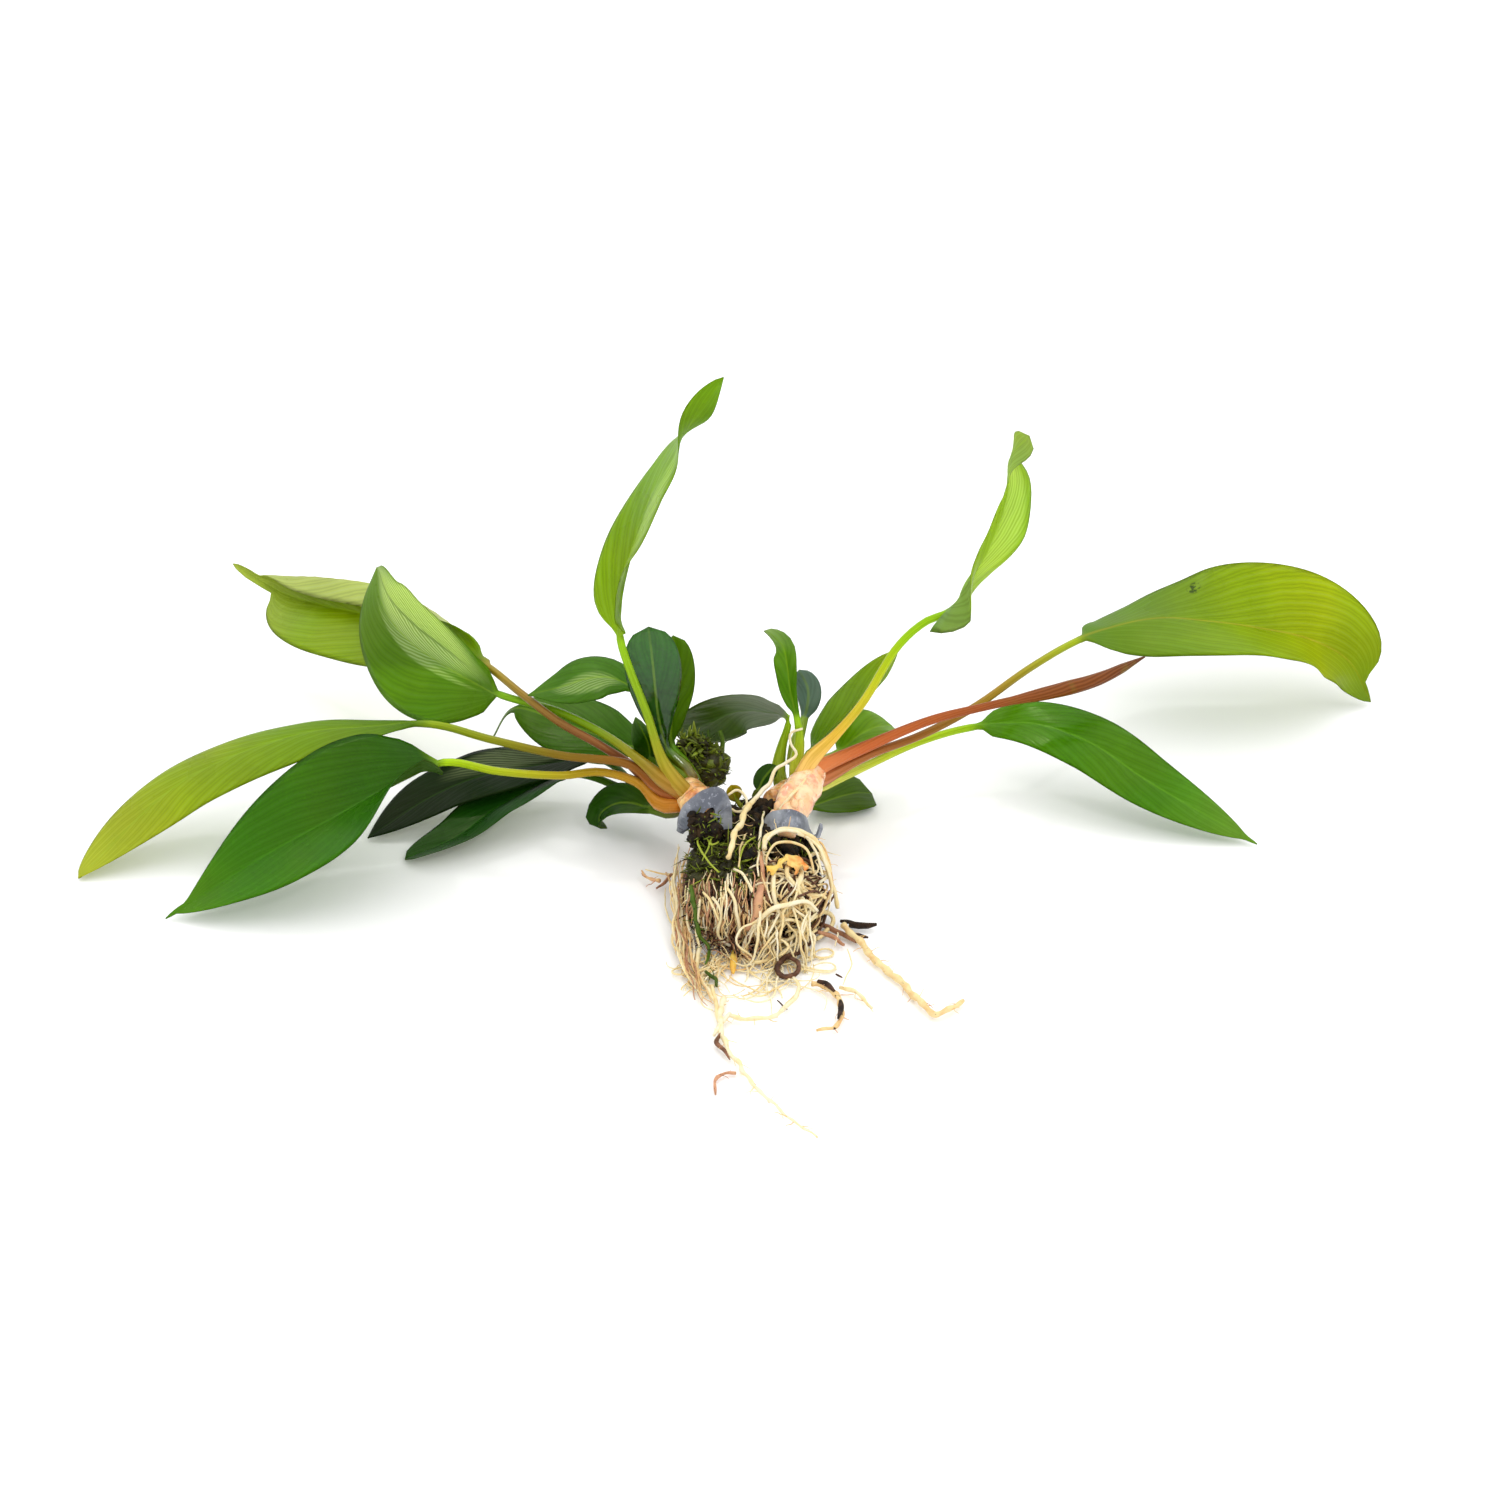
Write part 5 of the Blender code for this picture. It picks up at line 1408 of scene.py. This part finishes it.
def build_moss():
    rng = np.random.default_rng(23)
    green = strand_material("moss_green", MOSS_SHADES, (30, 25, 12), 0.06, rough=0.42, glow=0.12)
    over_clump = over_ball((-17, 42, 29), (6.8, 5.4, 6.6))
    upper_clump = over_ball((-21, 42, 34), (6.0, 4.5, 6.0))
    bed = lumps_over(rng, 110, over_stone, 2.4, (0.72, 1.0))
    bed += moss_strands(rng, 620, over_stone, (2.0, 6.5), (0.12, 0.3), (0.0, 0.9),
                        (0, -0.7, -0.1))
    strands_piece("moss_on_stone", bed + by_hand(GRASS, 70), 5, green, "moss", "moss_top")
    clump = lumps_over(rng, 120, over_clump, 2.6, (0.5, 0.95))
    strands_piece("moss_tuft", clump, 8, green, "moss", "moss_clump")
    leaflets = moss_strands(rng, 300, over_clump, (1.6, 3.8), (0.4, 0.9), (0.1, 0.7),
                            (0, -0.1, 0.2))
    leaflets += moss_strands(rng, 200, upper_clump, (1.6, 4.2), (0.4, 0.9), (0.1, 0.7),
                             (-0.1, -0.1, 0.3))
    leaflets += lumps_over(rng, 70, upper_clump, 2.2, (0.5, 0.95))
    strands_piece("moss_leaflets", leaflets, 6, green, "moss", flat=0.3)
    filling = []
    for place_of, count, size in ((under_bands, 260, 2.6), (beside_crowns, 110, 2.4),
                                  (before_left_crown, 80, 1.8)):
        filling += lumps_over(rng, count, place_of, size, (0.8, 1.0))
    soil = rough_material("root_soil", (16, 12, 8), (62, 46, 26), 260.0)
    strands_piece("soil_between_crowns", filling, 7, soil, "moss")
    wisps = []
    for place_of, count, lengths, tints, drape in (
            (under_bands, 330, (2.0, 6.0), (0.05, 0.8), (0, -0.6, 0.0)),
            (beside_crowns, 120, (1.5, 4.0), (0.2, 0.9), (0, -0.4, 0.1)),
            (before_left_crown, 130, (1.5, 4.5), (0.1, 0.8), (0, -0.4, -0.2))):
        wisps += moss_strands(rng, count, place_of, lengths, (0.14, 0.34), tints, drape)
    strands_piece("moss_wisps", wisps, 5, green, "moss")
    fine_roots = moss_strands(rng, 110, under_bands, (4.0, 10.0), (0.12, 0.3), (0.0, 0.5),
                              (0, -2.2, -0.6))
    pale = strand_material("root_skin_fine", ROOT_SHADES, (50, 36, 22), 0.1)
    strands_piece("roots_in_moss", fine_roots, 5, pale, "root_mat")


def build_mats(cream, soiled):
    rng = np.random.default_rng(5)
    strands_piece("combed_root_mat", comb_strands(rng) + by_hand(COMBED, 100), 6, soiled,
                  "root_mat", "root_mat_left")
    strands_piece("tangled_root_mat", tangle_strands(rng) + by_hand(TANGLED, 130), 7, cream,
                  "root_mat", "root_mat_right")
    strands_piece("floor_root_mat", floor_strands(rng) + by_hand(ON_TABLE, 160), 7, cream,
                  "root_mat", "root_mat_floor")
    strands_piece("loose_bits", by_hand(LOOSE_BITS, 190), 8, soiled, "root_tan")
    green = strand_material("green_threads", THREAD_SHADES, (30, 32, 14), 0.12)
    threads = by_hand(GREEN_THREADS, 220, 0.9)
    for path, _, tint in list(threads):
        threads += side_rootlets(rng, path, tint) + side_rootlets(rng, path, tint)
    strands_piece("green_threads", threads, 8, green, "moss")


def build_sheath():
    """A torn piece of orange skin over the right tangle, and the tip of one such root."""
    upper = along_curve(SHEATH_UPPER, 0.6)
    lower = along_curve(SHEATH_LOWER, 0.6)
    count = len(upper)
    rows = SHEATH_ROWS
    middle = []
    for i in range(count):
        along = i / (count - 1)
        other = lower[round(along * (len(lower) - 1))]
        tear = 0.75 + 0.9 * noise.noise((along * 9, 4.0, 0.5))
        for j in range(rows):
            share = j / (rows - 1) * tear
            crumple = np.array(noise.noise_vector((along * 6, share * 3, 2.0)))
            bulge = np.array((0, -1.2, 0.6)) * math.sin(3.14 * share)
            middle.append(upper[i] * (1 - share) + other * share + crumple * 1.2 + bulge)
    away = np.array((0, -0.7, 0.7)) * 0.2
    points = np.vstack([middle + away, middle - away])
    size = count * rows
    faces = []
    for i in range(count - 1):
        for j in range(rows - 1):
            a = i * rows + j
            faces.append((a, a + rows, a + rows + 1, a + 1))
            faces.append((size + a, size + a + 1, size + a + rows + 1, size + a + rows))
    rim = [i * rows for i in range(count)] + [(count - 1) * rows + j for j in range(1, rows)]
    rim += [i * rows + rows - 1 for i in range(count - 2, -1, -1)]
    rim += list(range(rows - 2, 0, -1))
    for a, b in zip(rim, rim[1:] + rim[:1]):
        faces.append((b, a, size + a, size + b))
    material = sheath_material()
    dress(mesh_object("torn_sheath", points, faces), material, "root_cream")
    strands_piece("orange_root_tips", by_hand(ORANGE_TIPS, 240), 10, material, "root_cream")


def build_hard_parts():
    """Bands, stone and bark: the bands and the bark keep the meshes of their solids."""
    metal = band_material()
    for name in ("band_left", "band_right"):
        bevel = covered(frame["nodes"][name], metal).modifiers.new("Soft edges", "BEVEL")
        bevel.width = 0.25 * MM
        bevel.segments = 2
        bevel.limit_method = "ANGLE"
        bevel.angle_limit = math.radians(40)
    dress(build_stone(), rough_material("dark_stone", (28, 24, 20), (75, 68, 60), 90.0), "stone",
          "stone")
    covered(frame["nodes"]["bark_sliver"],
            rough_material("dark_bark", (20, 14, 10), (60, 42, 28), 400.0))


# ---------------------------------------------------------------- stage
def build_floor():
    corners = [(x * FLOOR_HALF, y * FLOOR_HALF, FLOOR_Z)
               for x, y in ((-1, -1), (1, -1), (1, 1), (-1, 1))]
    mesh = bpy.data.meshes.new("table")
    mesh.from_pydata(corners, [], [(0, 1, 2, 3)])
    mesh.materials.append(floor_material())
    placed("table", mesh)


def build_light():
    """A white sky, brighter overhead, with a broad soft lamp and two small faint ones."""
    world = bpy.data.worlds.new("studio")
    world.use_nodes = True
    sky = world.node_tree
    height = node(sky, "ShaderNodeTexCoord", {}, "Generated").parts()[2]
    background = sky.nodes["Background"].inputs
    give(sky, background["Strength"], height.eased(0.0, 0.8, 0.9, 1.15))
    background["Color"].default_value = (1, 1, 1, 1)
    bpy.context.scene.world = world
    for name, (strength, spread, tilt) in LAMPS.items():
        lamp = bpy.data.lights.new(name, "SUN")
        lamp.energy = strength
        lamp.angle = math.radians(spread)
        placed(name, lamp).rotation_euler = (math.radians(-tilt[0]), math.radians(tilt[1]), 0)


def build_camera():
    lens = bpy.data.cameras.new("camera")
    lens.lens = LENS
    lens.sensor_width = SENSOR
    lens.clip_start = 0.05
    camera = placed("camera", lens)
    camera.location = CAMERA_PLACE
    camera.rotation_euler = (math.radians(CAMERA_TILT), 0, 0)
    bpy.context.scene.camera = camera
    bpy.context.scene.view_settings.view_transform = "Standard"


build_floor()
build_light()
build_camera()
build_leaves()
build_crowns()
cream_roots = strand_material("root_skin_cream", ROOT_SHADES, (60, 42, 28), 0.0, glow=0.2)
soiled_roots = strand_material("root_skin_soiled", ROOT_SHADES, (45, 32, 22), 0.12)
build_roots(cream_roots, soiled_roots)
build_mats(cream_roots, soiled_roots)
build_sheath()
build_moss()
build_hard_parts()
